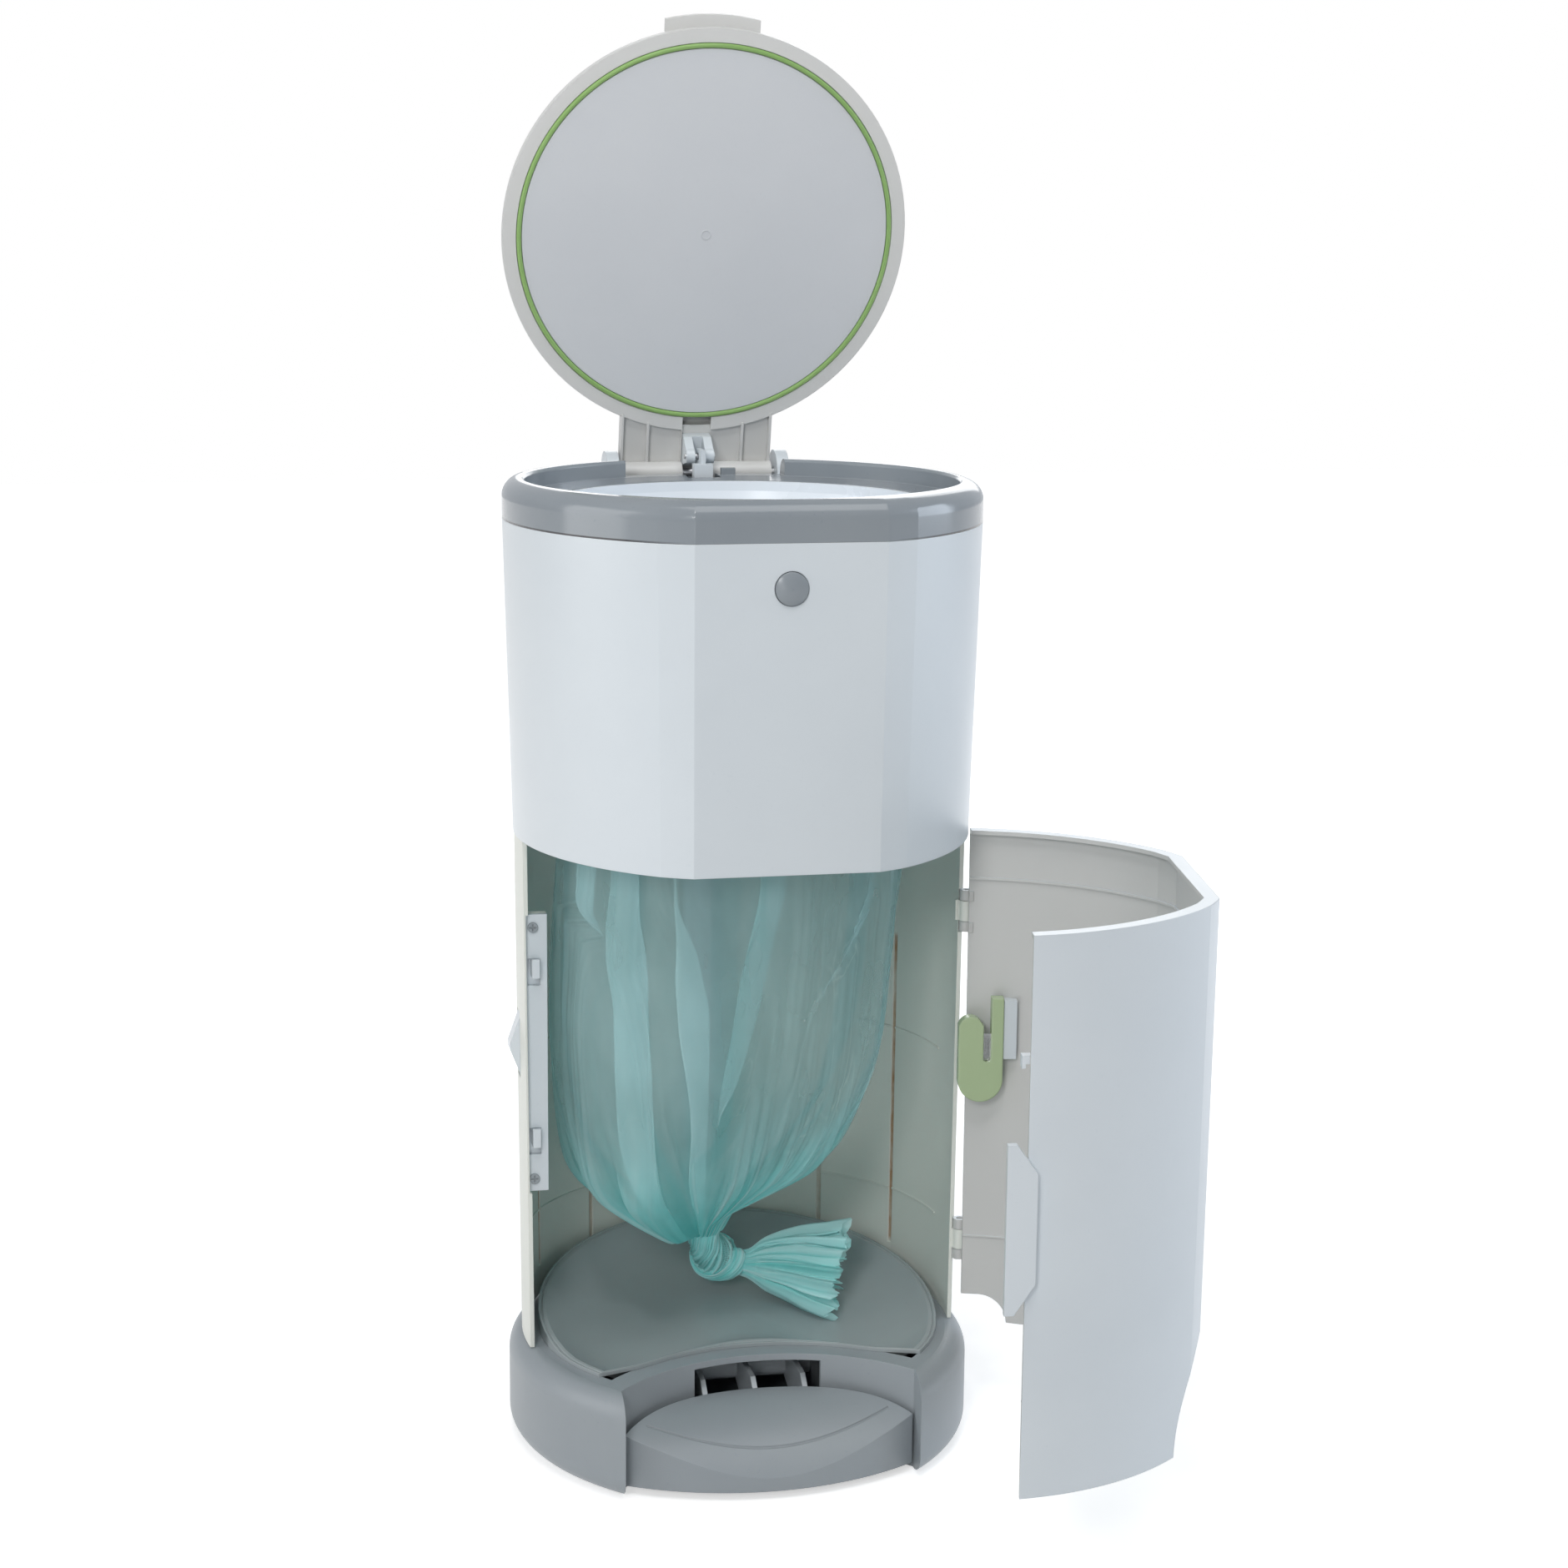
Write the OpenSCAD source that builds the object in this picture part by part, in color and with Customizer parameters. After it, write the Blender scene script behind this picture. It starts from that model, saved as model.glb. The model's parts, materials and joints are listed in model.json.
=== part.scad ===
// Step-on nappy bin: a tall white drum over a lower bay with a side-hung door, on a grey base
// with a foot pedal. Stored with the lid up, the door open and the pedal down.
// Origin on the floor under the middle of the drum, +Z up, the flat front panel facing -Y.

/* [Body] */
// Width of the drum at its top edge
body_w = 270; // [240:1:330]
// Width of the flat front panel at the drum's top edge
facet_w = 112; // [90:1:124]
// How much larger the radius of the side curves is than half the width
side_k = 20; // [12:1:28]
// How far the centre of the rear curve lies in front of the axis
rear_k = 5; // [3:1:9]
// Height of the grey base, up to its shoulder
base_h = 60; // [54:1:66]
// Height of the bay behind the door
bay_h = 300.5; // [260:0.5:360]
// Height of the white drum
drum_h = 178.5; // [150:0.5:220]
// Height of the grey rim collar
collar_h = 22; // [20:0.5:26]
// Thickness of the moulded walls
wall = 2.5; // [2:0.1:3]
// How far the drum's foot is drawn in from its top
drum_taper = 4.6; // [3:0.1:6]
// Step from the drum's foot in to the lower casing
bay_step = 0.6; // [0.5:0.1:1.2]
// How far the lower casing is drawn in over its height
bay_taper = 2.3; // [1.5:0.1:3]
// Depth of the line between the rear casing and the door, in front of the axis
split_y = 20; // [16:1:24]

/* [Lid] */
// Radius of the lid
lid_r = 120.9; // [110:0.1:124]
// Height of the lid's dome above its rim
dome_h = 22; // [16:1:30]
// Radius of the green seal ring
seal_r = 111.1; // [104:0.1:114]
// Thickness of the seal ring
seal_t = 2.8; // [2.2:0.1:3.4]
// Width of the tongue between the lid and its hinge
tongue_w = 93; // [80:1:100]
// Distance of the hinge pin behind the drum's back
hinge_back = 12.3; // [10:0.1:17]
// How far the lid stands open, in degrees
lid_open = 76; // [60:1:84]
// Diameter of the hinge pin
hinge_pin_d = 6; // [5:0.5:7]
// Distance from the hinge pin to the pin that the push rod lifts
crank_r = 18.5; // [16:0.5:20]

/* [Door] */
// Distance of the door's hinge pin in from the drum's right side
hinge_in = 5; // [1:0.5:7]
// How far the door stands open, in degrees
door_open = 81.5; // [60:0.5:90]
// Gap round the door
door_gap = 1.2; // [0.8:0.1:2]
// Radius of the arch that the toe recess makes in the door
arch_r = 78; // [70:1:82]
// Diameter of the door's hinge pins
door_pin_d = 4; // [3:0.5:5]

/* [Pedal] */
// Half width of the pedal's notch in the base
notch_half = 84.5; // [76:0.5:88]
// Radius of the hollow behind the pedal
scoop_r = 112; // [106:1:120]
// Depth from the axis to the middle of that hollow
scoop_y = 55; // [52:1:60]
// Gap round the pedal
pedal_gap = 1.3; // [1:0.1:2]
// Distance of the pedal's pivot behind the axis
pedal_pivot_y = 0; // [-8:1:8]
// Height of the pedal's pivot
pedal_pivot_z = 32; // [29:1:33]
// Diameter of the pedal's axle
axle_d = 6; // [5:0.5:7]
// Distance of the push rod in from the drum's back
rod_in = 13; // [12:0.5:14]
// Diameter of the push rod
rod_d = 5; // [4:0.5:6]

/* [Funnel and refill] */
// Radius of the funnel's mouth
mouth_r = 105; // [100:1:108]
// Outer radius of the funnel's neck
neck_r = 95; // [90:1:97]
// Depth of the funnel's floor below the rim
funnel_depth = 45; // [36:1:54]
// Length of the neck below the funnel's floor
neck_h = 62; // [54:1:70]
// Width of the drop opening, across the two flaps
drop_w = 108; // [96:1:116]
// Height of the refill ring
refill_h = 52; // [44:1:56]

/* [Small parts] */
// Diameter of the lock button on the front
button_d = 18; // [14:0.5:22]
// Travel of the lock button
button_travel = 3; // [2:0.5:4]
// Running clearance of pins in their holes, on the radius
pin_fit = 0.05; // [0.02:0.01:0.1]
// Clearance between neighbouring pieces
fit = 0.3; // [0.3:0.05:0.5]
// Travel of the door latch
latch_travel = 4; // [3:0.5:5]

/* [Hidden] */
$fn = 96;

white = [0.86, 0.88, 0.91];
off_white = [0.83, 0.84, 0.82];
grey = [0.60, 0.64, 0.69];
lilac = [0.74, 0.75, 0.79];
green = [0.45, 0.62, 0.30];
pale_green = [0.60, 0.68, 0.50];
steel = [0.72, 0.72, 0.73];
teal = [0.45, 0.70, 0.68];
dark = [0.18, 0.18, 0.19];

half_w = body_w / 2;
pivot_y = half_w + hinge_back;
door_hinge_x = half_w - hinge_in;
rod_y = half_w - rod_in;
// Depth of the flat front panel in front of the axis, at no inset
facet_y = sqrt(pow(half_w + side_k, 2) - pow(facet_w / 2 + side_k, 2));
z_mid = base_h + bay_h;
z_rim = z_mid + drum_h;
z_crest = z_rim + collar_h;
bay_top_inset = drum_taper + bay_step;
z_door0 = base_h + door_gap;
z_door1 = z_mid - door_gap;
far = 400;

// How far the lower casing's outside is drawn in at a height
function bay_inset(z) = bay_top_inset + bay_taper * (z_mid - z) / bay_h;
// How far the drum's outside is drawn in at a height
function drum_inset(z) = drum_taper * (z_rim - z) / drum_h;
// Where a side curve lies at a depth y, for an inset
function side_x(y, inset) = sqrt(pow(half_w + side_k - inset, 2) - y * y) - side_k;

// The body's plan drawn up between two heights, with an inset at each: two side curves, the
// rear curve and the flat front
module body_block(z0, z1, inset0, inset1) {
  intersection() {
    side_cone(side_k, z0, z1, inset0, inset1);
    side_cone(-side_k, z0, z1, inset0, inset1);
    translate([0, -rear_k, z0])
      cylinder(h = z1 - z0, r1 = half_w + rear_k - inset0, r2 = half_w + rear_k - inset1);
    rotate([90, 0, 90])
      linear_extrude(height = far, center = true)
        polygon([[inset0 - facet_y, z0], [half_w + 20, z0], [half_w + 20, z1], [inset1 - facet_y, z1]]);
  }
}

module side_cone(x, z0, z1, inset0, inset1) {
  r = half_w + abs(x);
  translate([x, 0, z0])
    cylinder(h = z1 - z0, r1 = r - inset0, r2 = r - inset1);
}

// The same plan for a piece with a rounded edge: the child is a 2D half profile that reaches out
// to $reach, and is turned about each curve's own centre
module body_turn(k, low) {
  intersection() {
    translate([0, -rear_k, 0]) rotate([0, 0, 90]) turned(half_w + rear_k) children();
    translate([k, 0, 0]) turned(half_w + k) children();
    translate([-k, 0, 0]) turned(half_w + k) children();
    rotate([90, 0, 90])
      linear_extrude(height = far, center = true)
        union() {
          mirror([1, 0]) reached(facet_y) children();
          translate([0, low]) square([half_w + 20, far]);
        }
  }
}

module turned(reach) {
  rotate_extrude() reached(reach) children();
}

module reached(reach) {
  $reach = reach;
  children();
}

// A box given by its lowest corner and highest corner
module span(low, high) {
  translate(low) cube([high[0] - low[0], high[1] - low[1], high[2] - low[2]]);
}

// A round bar along X, centred on x
module bar_x(d, length, x = 0) {
  translate([x - length / 2, 0, 0]) rotate([0, 90, 0]) cylinder(h = length, d = d, $fn = 48);
}

// A tube section on the axis
module ring(r_in, r_out, z0, z1) {
  difference() {
    translate([0, 0, z0]) cylinder(h = z1 - z0, r = r_out);
    translate([0, 0, z0 - 1]) cylinder(h = z1 - z0 + 2, r = r_in);
  }
}

// Base

base_k = 10;
base_wall = 3;
base_floor_inset = 11;
base_bottom_r = 12;
base_shoulder_r = 13;
base_low = 1;
scoop_centre_y = -scoop_y - scoop_r;
tray_r = half_w - 17;
tray_rest_w = 1.8;
opening_half = 37;

// Half profile of the base's outside: rounded at the floor and at the shoulder
module base_profile(inset = 0) {
  r = $reach - inset;
  top = base_h - inset;
  translate([0, base_low]) square([r - base_bottom_r, top - base_low]);
  translate([0, base_low + base_bottom_r])
    square([r, top - base_shoulder_r - base_low - base_bottom_r]);
  translate([r - base_bottom_r, base_low + base_bottom_r]) circle(r = base_bottom_r);
  translate([r - base_shoulder_r, top - base_shoulder_r]) circle(r = base_shoulder_r);
  translate([0, base_low]) square([r - base_shoulder_r, top - base_low]);
}

// The space that the pedal moves in, grown by a margin
module notch_space(margin, z0, z1) {
  intersection() {
    span([-notch_half - margin, -far / 2, z0], [notch_half + margin, 0, z1]);
    translate([0, scoop_centre_y, z0]) cylinder(h = z1 - z0, r = scoop_r + margin);
  }
}

module base_shell() color(grey) {
  difference() {
    body_turn(base_k, 0) base_profile();
    difference() {
      body_turn(base_k, 0) base_profile(base_wall);
      notch_space(base_wall, 0, base_h);
    }
    // Open underside, closed by the base plate
    difference() {
      body_block(-1, base_wall + 1, base_floor_inset + 2, base_floor_inset + 2);
      notch_space(base_wall, -2, base_h);
    }
    notch_space(0, -1, base_h + 1);
    // Opening that the pedal's lever passes through
    span([-opening_half, -scoop_y - 22, base_wall + 1], [opening_half, -scoop_y + 12, base_h - 4]);
    // Opening under the tray
    difference() {
      translate([0, 0, base_h - base_wall - 1]) cylinder(h = base_wall + 2, r = tray_r - tray_rest_w);
      notch_space(tray_front_gap + tray_rest_w, 0, base_h + 2);
    }
    // Way up for the push rod
    translate([0, rod_y, base_h - base_shoulder_r])
      cylinder(h = base_shoulder_r + 1, d = rod_d + 2 * rod_gap);
  }
  for (at = screws_at)
    difference() {
      translate([at[0], at[1], boss_z]) cylinder(h = base_h - base_wall - boss_z + 0.5, r = boss_r);
      translate([at[0], at[1], 0]) cylinder(h = screw_top + 2, d = screw_d + 2 * pin_fit, $fn = 48);
    }
}

plate_t = 2.5;
bracket_x = 46;
bracket_t = 5;
bracket_r = 8;
foot_r = 9;
foot_t = 1.2;
feet_at = [[-90, 66], [90, 66], [-100, -34], [100, -34]];
screws_at = [[-111, 32], [111, 32], [-60, 98], [60, 98]];
boss_r = 5;
boss_z = 14;
screw_d = 3.5;
screw_head_d = 7;
screw_head_t = 2;
screw_top = 22;
rod_gap = 0.7;

module base_plate() color(grey) {
  difference() {
    union() {
      difference() {
        body_block(0, plate_t, base_floor_inset + 2 + fit, base_floor_inset + 2 + fit);
        notch_space(base_wall + fit, -1, plate_t + 1);
      }
      // Ears that carry the pedal's axle
      for (side = [-1, 1])
        pedal_ear(side * bracket_x);
      for (at = screws_at)
        translate([at[0], at[1], 0]) cylinder(h = boss_z, r = boss_r);
    }
    translate([0, pedal_pivot_y, pedal_pivot_z]) bar_x(axle_d + 2 * pin_fit, far);
    for (at = feet_at)
      translate([at[0], at[1], -1]) cylinder(h = 1 + foot_t, r = foot_r + fit);
    for (at = screws_at)
      translate([at[0], at[1], 0]) screw_shape(pin_fit, -1);
  }
}

module pedal_ear(x) {
  translate([x - bracket_t / 2, pedal_pivot_y, 0]) {
    translate([0, -bracket_r, 0]) cube([bracket_t, 2 * bracket_r, pedal_pivot_z]);
    translate([0, 0, pedal_pivot_z]) rotate([0, 90, 0]) cylinder(h = bracket_t, r = bracket_r);
    translate([0, -bracket_r - 10, 0]) cube([bracket_t, 2 * bracket_r + 20, 6]);
  }
}

// A pan-headed screw that points up, grown by a margin, with its head reaching down to z0
module screw_shape(margin, z0) {
  translate([0, 0, z0]) cylinder(h = screw_head_t + 0.2 - z0, d = screw_head_d + 4 * margin, $fn = 48);
  translate([0, 0, screw_head_t]) cylinder(h = screw_top - screw_head_t, d = screw_d + 2 * margin, $fn = 48);
}

module casing_screws() color(steel) {
  for (at = screws_at)
    translate([at[0], at[1], 0])
      difference() {
        screw_shape(0, 0.2);
        // Cross slot
        for (turn = [0, 90])
          rotate([0, 0, turn]) span([-2.2, -0.4, -1], [2.2, 0.4, 1.2]);
      }
}

module rubber_feet() color(dark) {
  for (at = feet_at)
    translate([at[0], at[1], 0]) cylinder(h = foot_t, r = foot_r);
}

// A closed skin through rings of points, with a point over the first ring and one over the last
module skin(rings, first, last) {
  n = len(rings[0]);
  m = len(rings);
  points = concat([first, last], [for (ring = rings) for (p = ring) p]);
  faces = concat(
    [for (j = [0:n - 1]) [0, 2 + j, 2 + (j + 1) % n]],
    [
      for (i = [0:m - 2], j = [0:n - 1], half = [0, 1])
        let (a = 2 + i * n, b = a + n, k = (j + 1) % n)
        half == 0 ? [a + j, b + j, a + k] : [a + k, b + j, b + k]
    ],
    [for (j = [0:n - 1]) let (a = 2 + (m - 1) * n) [1, a + (j + 1) % n, a + j]]
  );
  polyhedron(points = points, faces = faces, convexity = 8);
}

// Tray: a shallow dish that rises to the rear, over the pedal's lever, with two deeper lobes

tray_tilt = 9.5;
tray_front_gap = 12;
tray_edge = 2.4;
tray_lip = 5;
tray_depth = 19;
tray_t = 2.2;
tray_centre_y = 22;
tray_steps = 64;
tray_blend = 9;
tray_rings = [0.2, 0.4, 0.58, 0.72, 0.83, 0.9, 0.95];
// Groove along the lip: how far in its edges and floor lie, and its depth
tray_groove = [1.3, 1.9, 2.5];
tray_groove_d = 0.8;

// Height of the tray's rim at a depth
function rim_z(y) = base_h + tray_edge + tan(tray_tilt) * max(0, y + scoop_y - tray_front_gap);
// Reach from the tray's centre to its round outside, in a direction
function round_reach(a) =
  let (b = -tray_centre_y * sin(a))
  b + sqrt(b * b - pow(tray_centre_y, 2) + pow(tray_r, 2));
// Reach from the tray's centre to the hollow of its front edge, carried on past the hollow
function hollow_reach(a) =
  let (
    c = tray_centre_y - scoop_centre_y, r = scoop_r + tray_front_gap,
    b = -c * sin(a), d = b * b - c * c + r * r
  )
  b <= 0 ? 2 * sqrt(c * c - r * r) : d > 0 ? b - sqrt(d) : b + 2 * sqrt(-d);
// The tray's outline, with its two front corners rounded off
function tray_reach(a) =
  pow(pow(round_reach(a), -tray_blend) + pow(hollow_reach(a), -tray_blend), -1 / tray_blend);
// How deep the dish is, from 0 at its lip to 1 in its lobes
function dish(x, t) = (1 - pow(t, 5)) * (0.55 + 0.45 * (1 - exp(-pow(x / 42, 2))));
function tray_ring(t, drop) = [
  for (i = [0:tray_steps - 1])
    let (
      a = 360 * i / tray_steps, r = tray_reach(a) - tray_lip, x = t * r * cos(a),
      y = tray_centre_y + t * r * sin(a)
    )
    [x, y, rim_z(y) - tray_depth * dish(x, t) - drop]
];
// A ring near the tray's edge, sunk below the rim or at a level of its own
function tray_edge_ring(margin, sunk, level) = [
  for (i = [0:tray_steps - 1])
    let (a = 360 * i / tray_steps, r = tray_reach(a) - margin, y = tray_centre_y + r * sin(a))
    [r * cos(a), y, level == undef ? rim_z(y) - sunk : level]
];

module tray() color(grey) {
  middle = rim_z(tray_centre_y) - tray_depth * dish(0, 0);
  skin(
    concat(
      [for (t = tray_rings) tray_ring(t, tray_t)],
      [tray_edge_ring(tray_lip - 0.5, tray_t), tray_edge_ring(tray_t, tray_t)],
      [tray_edge_ring(tray_t, 0, base_h), tray_edge_ring(0, 0, base_h)],
      [tray_edge_ring(0, 0), tray_edge_ring(tray_groove[0], 0)],
      [tray_edge_ring(tray_groove[1], tray_groove_d), tray_edge_ring(tray_groove[2], 0)],
      [tray_edge_ring(tray_lip - 0.5, 0)],
      [for (i = [1:len(tray_rings)]) tray_ring(tray_rings[len(tray_rings) - i], 0)]
    ),
    [0, tray_centre_y, middle - tray_t],
    [0, tray_centre_y, middle]
  );
}

// Pedal, its lever, axle and push rod, drawn pressed down

pedal_z0 = 5;
pedal_front_r = 160;
pedal_front_y = facet_y - 15.1;
pedal_back_r = 116;
pedal_back_gap = 6.5;
pedal_tread_r = 64;
pedal_crest_y = pedal_front_y - 54;
pedal_crest_z = 42.5;
pedal_wall = 3;
// Line pressed into the tread along the pedal's front
pedal_line_in = 11;
pedal_line_w = 1.2;
pedal_line_d = 0.6;
pedal_line_half = 70;
lever_half = 31;
lever_in = 26;
rib_t = 3;
hub_r = 7.5;
pad_z = 40;
arm_half = 6;
pad_t = 5;
rod_foot_gap = 0.8;

// The pedal's space, drawn in by a margin: two arcs in plan under a wide cylinder
module pedal_block(margin) {
  back_y = -scoop_y - pedal_back_gap - pedal_back_r;
  side = notch_half - pedal_gap - margin;
  intersection() {
    translate([0, back_y, 0]) cylinder(h = 60, r = pedal_back_r - margin);
    translate([0, pedal_front_r - pedal_front_y, 0]) cylinder(h = 60, r = pedal_front_r - margin);
    translate([0, -pedal_crest_y, pedal_crest_z - pedal_tread_r])
      bar_x(2 * (pedal_tread_r - margin), far);
    span([-side, -far / 2, margin > 0 ? 0 : pedal_z0], [side, 0, far / 4]);
  }
}

module pedal() color(grey) {
  difference() {
    pedal_block(0);
    pedal_block(pedal_wall);
    // Way in for the lever, through the rear wall
    span(
      [-lever_half - fit, -scoop_y - pedal_back_gap - 20, 0],
      [lever_half + fit, 0, pedal_crest_z - pedal_wall - 4 + fit]
    );
    pedal_line();
  }
}

module pedal_line() {
  r = pedal_front_r - pedal_line_in;
  difference() {
    intersection() {
      translate([0, pedal_front_r - pedal_front_y, 0]) ring(r - pedal_line_w, r, pedal_z0, far);
      span([-pedal_line_half, -far, 0], [pedal_line_half, 0, far]);
    }
    pedal_block(pedal_line_d);
  }
}

module lever_rib(x) {
  front = -scoop_y - lever_in;
  top = pedal_crest_z - pedal_wall - 4;
  translate([x - rib_t / 2, 0, 0])
    rotate([90, 0, 90])
      linear_extrude(height = rib_t)
        polygon([
          [front, 9], [front, top - 4], [front + 6, top], [-scoop_y - pedal_back_gap + 4, top],
          [-scoop_y + 8, top + 8], [-scoop_y + 24, top + 8], [pedal_pivot_y, pedal_pivot_z + hub_r - 1],
          [pedal_pivot_y, pedal_pivot_z - hub_r + 1], [-scoop_y, 9]
        ]);
}

module pedal_lever() color(white) {
  difference() {
    union() {
      for (x = [-lever_half + rib_t / 2, 0, lever_half - rib_t / 2])
        lever_rib(x);
      span([-lever_half, -scoop_y - lever_in, 17], [lever_half, -scoop_y + 30, 20]);
      translate([0, pedal_pivot_y, pedal_pivot_z]) bar_x(2 * hub_r, 2 * (bracket_x - bracket_t / 2 - fit));
      // Rear arm that lifts the push rod
      translate([-arm_half, 0, 0])
        rotate([90, 0, 90])
          linear_extrude(height = 2 * arm_half)
            polygon([
              [pedal_pivot_y, pedal_pivot_z + hub_r - 1], [rod_y - 12, pad_z], [rod_y + 3, pad_z],
              [rod_y + 3, pad_z - pad_t], [rod_y - 8, pad_z - pad_t - 2],
              [pedal_pivot_y, pedal_pivot_z - hub_r + 1]
            ]);
    }
    translate([0, pedal_pivot_y, pedal_pivot_z]) bar_x(axle_d + 2 * pin_fit, far);
  }
}

module pedal_axle() color(steel) {
  translate([0, pedal_pivot_y, pedal_pivot_z]) bar_x(axle_d, 2 * bracket_x + bracket_t + 4);
}

// The lid's two pivots, with the lid shut, and where the crank pin stands with the lid open

pivot_drop = 10.7;
pivot_z = z_crest - pivot_drop;
crank_turn = 37.9;
crank_y = crank_r * cos(crank_turn);
crank_z = crank_r * sin(crank_turn);
crank_pin_d = 3;
crank_pin_half = 9.3;
pin_open_y = pivot_y - crank_y * cos(lid_open) - crank_z * sin(lid_open);
pin_open_z = pivot_z + crank_y * sin(lid_open) - crank_z * cos(lid_open);
rod_slack = 0.7;
blade_t = 3;
blade_below = 9.7;
blade_above = 4.5;
slot_h = crank_pin_d + 2 * rod_slack;
head_half = 5.8;
head_low = 10;
head_top = 6;
head_out = 3.6;

module push_rod() color(steel) {
  foot = pad_z + rod_foot_gap;
  translate([0, rod_y, foot]) cylinder(h = pin_open_z - blade_below - 0.5 - foot, d = rod_d, $fn = 48);
}

// Head on the push rod. The crank's pin moves on an arc, so the slot in the head runs along Y
module rod_head() color(white) {
  low = pin_open_z - blade_below;
  difference() {
    union() {
      span(
        [-blade_t / 2, rod_y - rod_d / 2, low],
        [blade_t / 2, pin_open_y + slot_h / 2 + 1.2, pin_open_z + blade_above]
      );
      span([-head_half, rod_y - head_out, low - head_low], [head_half, rod_y + head_out, low + head_top]);
    }
    translate([0, pin_open_y, pin_open_z]) bar_x(slot_h, 20);
    translate([0, pivot_y - crank_r, pin_open_z]) bar_x(slot_h, 20);
    span(
      [-10, pivot_y - crank_r, pin_open_z - slot_h / 2],
      [10, pin_open_y, pin_open_z + slot_h / 2]
    );
    translate([0, rod_y, low - head_low - 1]) cylinder(h = head_low + 0.8, d = rod_d + 2 * pin_fit, $fn = 48);
  }
}

channel_half = 12;
channel_y = rod_y - 8;
channel_t = 2;
channel_low = 30;

module rod_channel() color(white) {
  top = z_mid - 3.5;
  low = base_h + channel_low;
  difference() {
    intersection() {
      span([-channel_half, channel_y, low], [channel_half, far, top]);
      body_block(low, top, bay_inset(low) + wall + fit, bay_inset(top) + wall + fit);
    }
    span(
      [-channel_half + channel_t, channel_y + channel_t, low - 1],
      [channel_half - channel_t, far, top + 1]
    );
  }
}

// Rear casing of the bay, with the hinge and latch sides

knuckle_r = 3.8;
knuckle_half = 6;
hinge_from_end = 50;
hinge_at = [base_h + hinge_from_end, z_mid - hinge_from_end - 0.5];
plate_y = split_y - 4;
latch_z0 = base_h + 93.5;
latch_z1 = base_h + 257;
latch_x0 = half_w - 7.8;
latch_x1 = half_w - 20.6;
latch_plate_t = 2;
slider_t = 3;
slider_gap = 0.3;
button_z = base_h + 177.5;
button_half = 19.5;
catch_at = [base_h + 226, base_h + 126];
latch_screw_in = 7.5;
latch_x = half_w - 11.5;
// Moulded lines on the casing's inside: upright grooves at angles, and two ledges
groove_at = [31, 55, 125, 149];
groove_w = 3;
groove_d = 0.8;
groove_z = [base_h + 18, base_h + 215];
line_at = [base_h + 53, base_h + 156];
line_t = 1.2;
line_proud = 0.7;

module knuckle(half, r) {
  translate([door_hinge_x, -split_y, -half]) cylinder(h = 2 * half, r = r, $fn = 48);
}

// Web that joins a knuckle to the wall beside it, behind the hinge line or in front of it
module knuckle_web(half, side) {
  translate([door_hinge_x, -split_y, 0])
    span(
      [-knuckle_r - 2, side > 0 ? door_gap : -knuckle_r, -half],
      [0, side > 0 ? knuckle_r : -door_gap, half]
    );
}

module rear_casing() color(off_white) {
  z1 = z_mid;
  difference() {
    union() {
      difference() {
        body_block(base_h, z1, bay_inset(base_h), bay_inset(z1));
        body_block(base_h - 1, z1 + 1, bay_inset(base_h) + wall, bay_inset(z1) + wall);
        span([-far, -far, 0], [far, -split_y, far * 2]);
      }
      // Ledges on the inside, left out behind the rod's channel
      for (z = line_at)
        difference() {
          body_block(z, z + line_t, bay_inset(z) + 1, bay_inset(z) + 1);
          body_block(z - 1, z + line_t + 1, bay_inset(z) + wall + line_proud, bay_inset(z) + wall + line_proud);
          span([-far, -far, 0], [far, plate_y, far]);
          span([-channel_half - fit, 0, 0], [channel_half + fit, far, far]);
        }
      // Flange behind the latch plate
      intersection() {
        body_block(latch_z0, latch_z1, bay_inset(latch_z0) + 1, bay_inset(latch_z1) + 1);
        span(
          [-far, -plate_y + latch_plate_t, latch_z0],
          [-latch_x1, -plate_y + latch_plate_t + slider_t + 2.5, latch_z1]
        );
      }
      for (z = hinge_at)
        translate([0, 0, z]) {
          knuckle(knuckle_half, knuckle_r);
          knuckle_web(knuckle_half, 1);
        }
    }
    // Upright grooves in the inside
    intersection() {
      body_block(groove_z[0], groove_z[1], bay_inset(groove_z[0]) + wall - groove_d,
        bay_inset(groove_z[1]) + wall - groove_d);
      for (a = groove_at)
        rotate([0, 0, a]) span([0, -groove_w / 2, 0], [far, groove_w / 2, far]);
    }
    // Room for the latch plate's outer edge
    intersection() {
      span([-far, -far, latch_z0 - fit], [-latch_x1, -plate_y + latch_plate_t, latch_z1 + fit]);
      body_block(latch_z0 - fit, latch_z1 + fit, bay_inset(latch_z0) + 1.2, bay_inset(latch_z1) + 1.2);
    }
    // Groove that the latch slider runs in
    span(
      [-latch_x - 2.5 - fit, -plate_y, latch_z0 + 16],
      [-latch_x + 5.5 + fit, -plate_y + latch_plate_t + slider_t + fit, latch_z1 - 12]
    );
    // Window that the release button slides in
    span(
      [-far, button_y - button_w / 2 - fit, button_z - button_half - fit],
      [-latch_x + 8, button_y + button_w / 2 + fit, button_z + button_half + fit]
    );
    for (z = [latch_z0 + latch_screw_in, latch_z1 - latch_screw_in])
      translate([-latch_x + 1, -plate_y + latch_plate_t - 1, z])
        rotate([-90, 0, 0]) cylinder(h = 6, d = 2 + 2 * pin_fit, $fn = 48);
    for (z = hinge_at) {
      translate([0, 0, z]) knuckle(knuckle_half + 1, door_pin_d / 2 + pin_fit);
      for (side = [-1, 1])
        translate([0, 0, z + side * (1.5 * knuckle_half + fit + 0.2)])
          knuckle(knuckle_half / 2 + 0.5, knuckle_r + 0.5);
    }
  }
}

button_y = 2;
button_w = 12;
button_proud = 5.5;

// Plate, screws, slider and release button of the door latch

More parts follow.
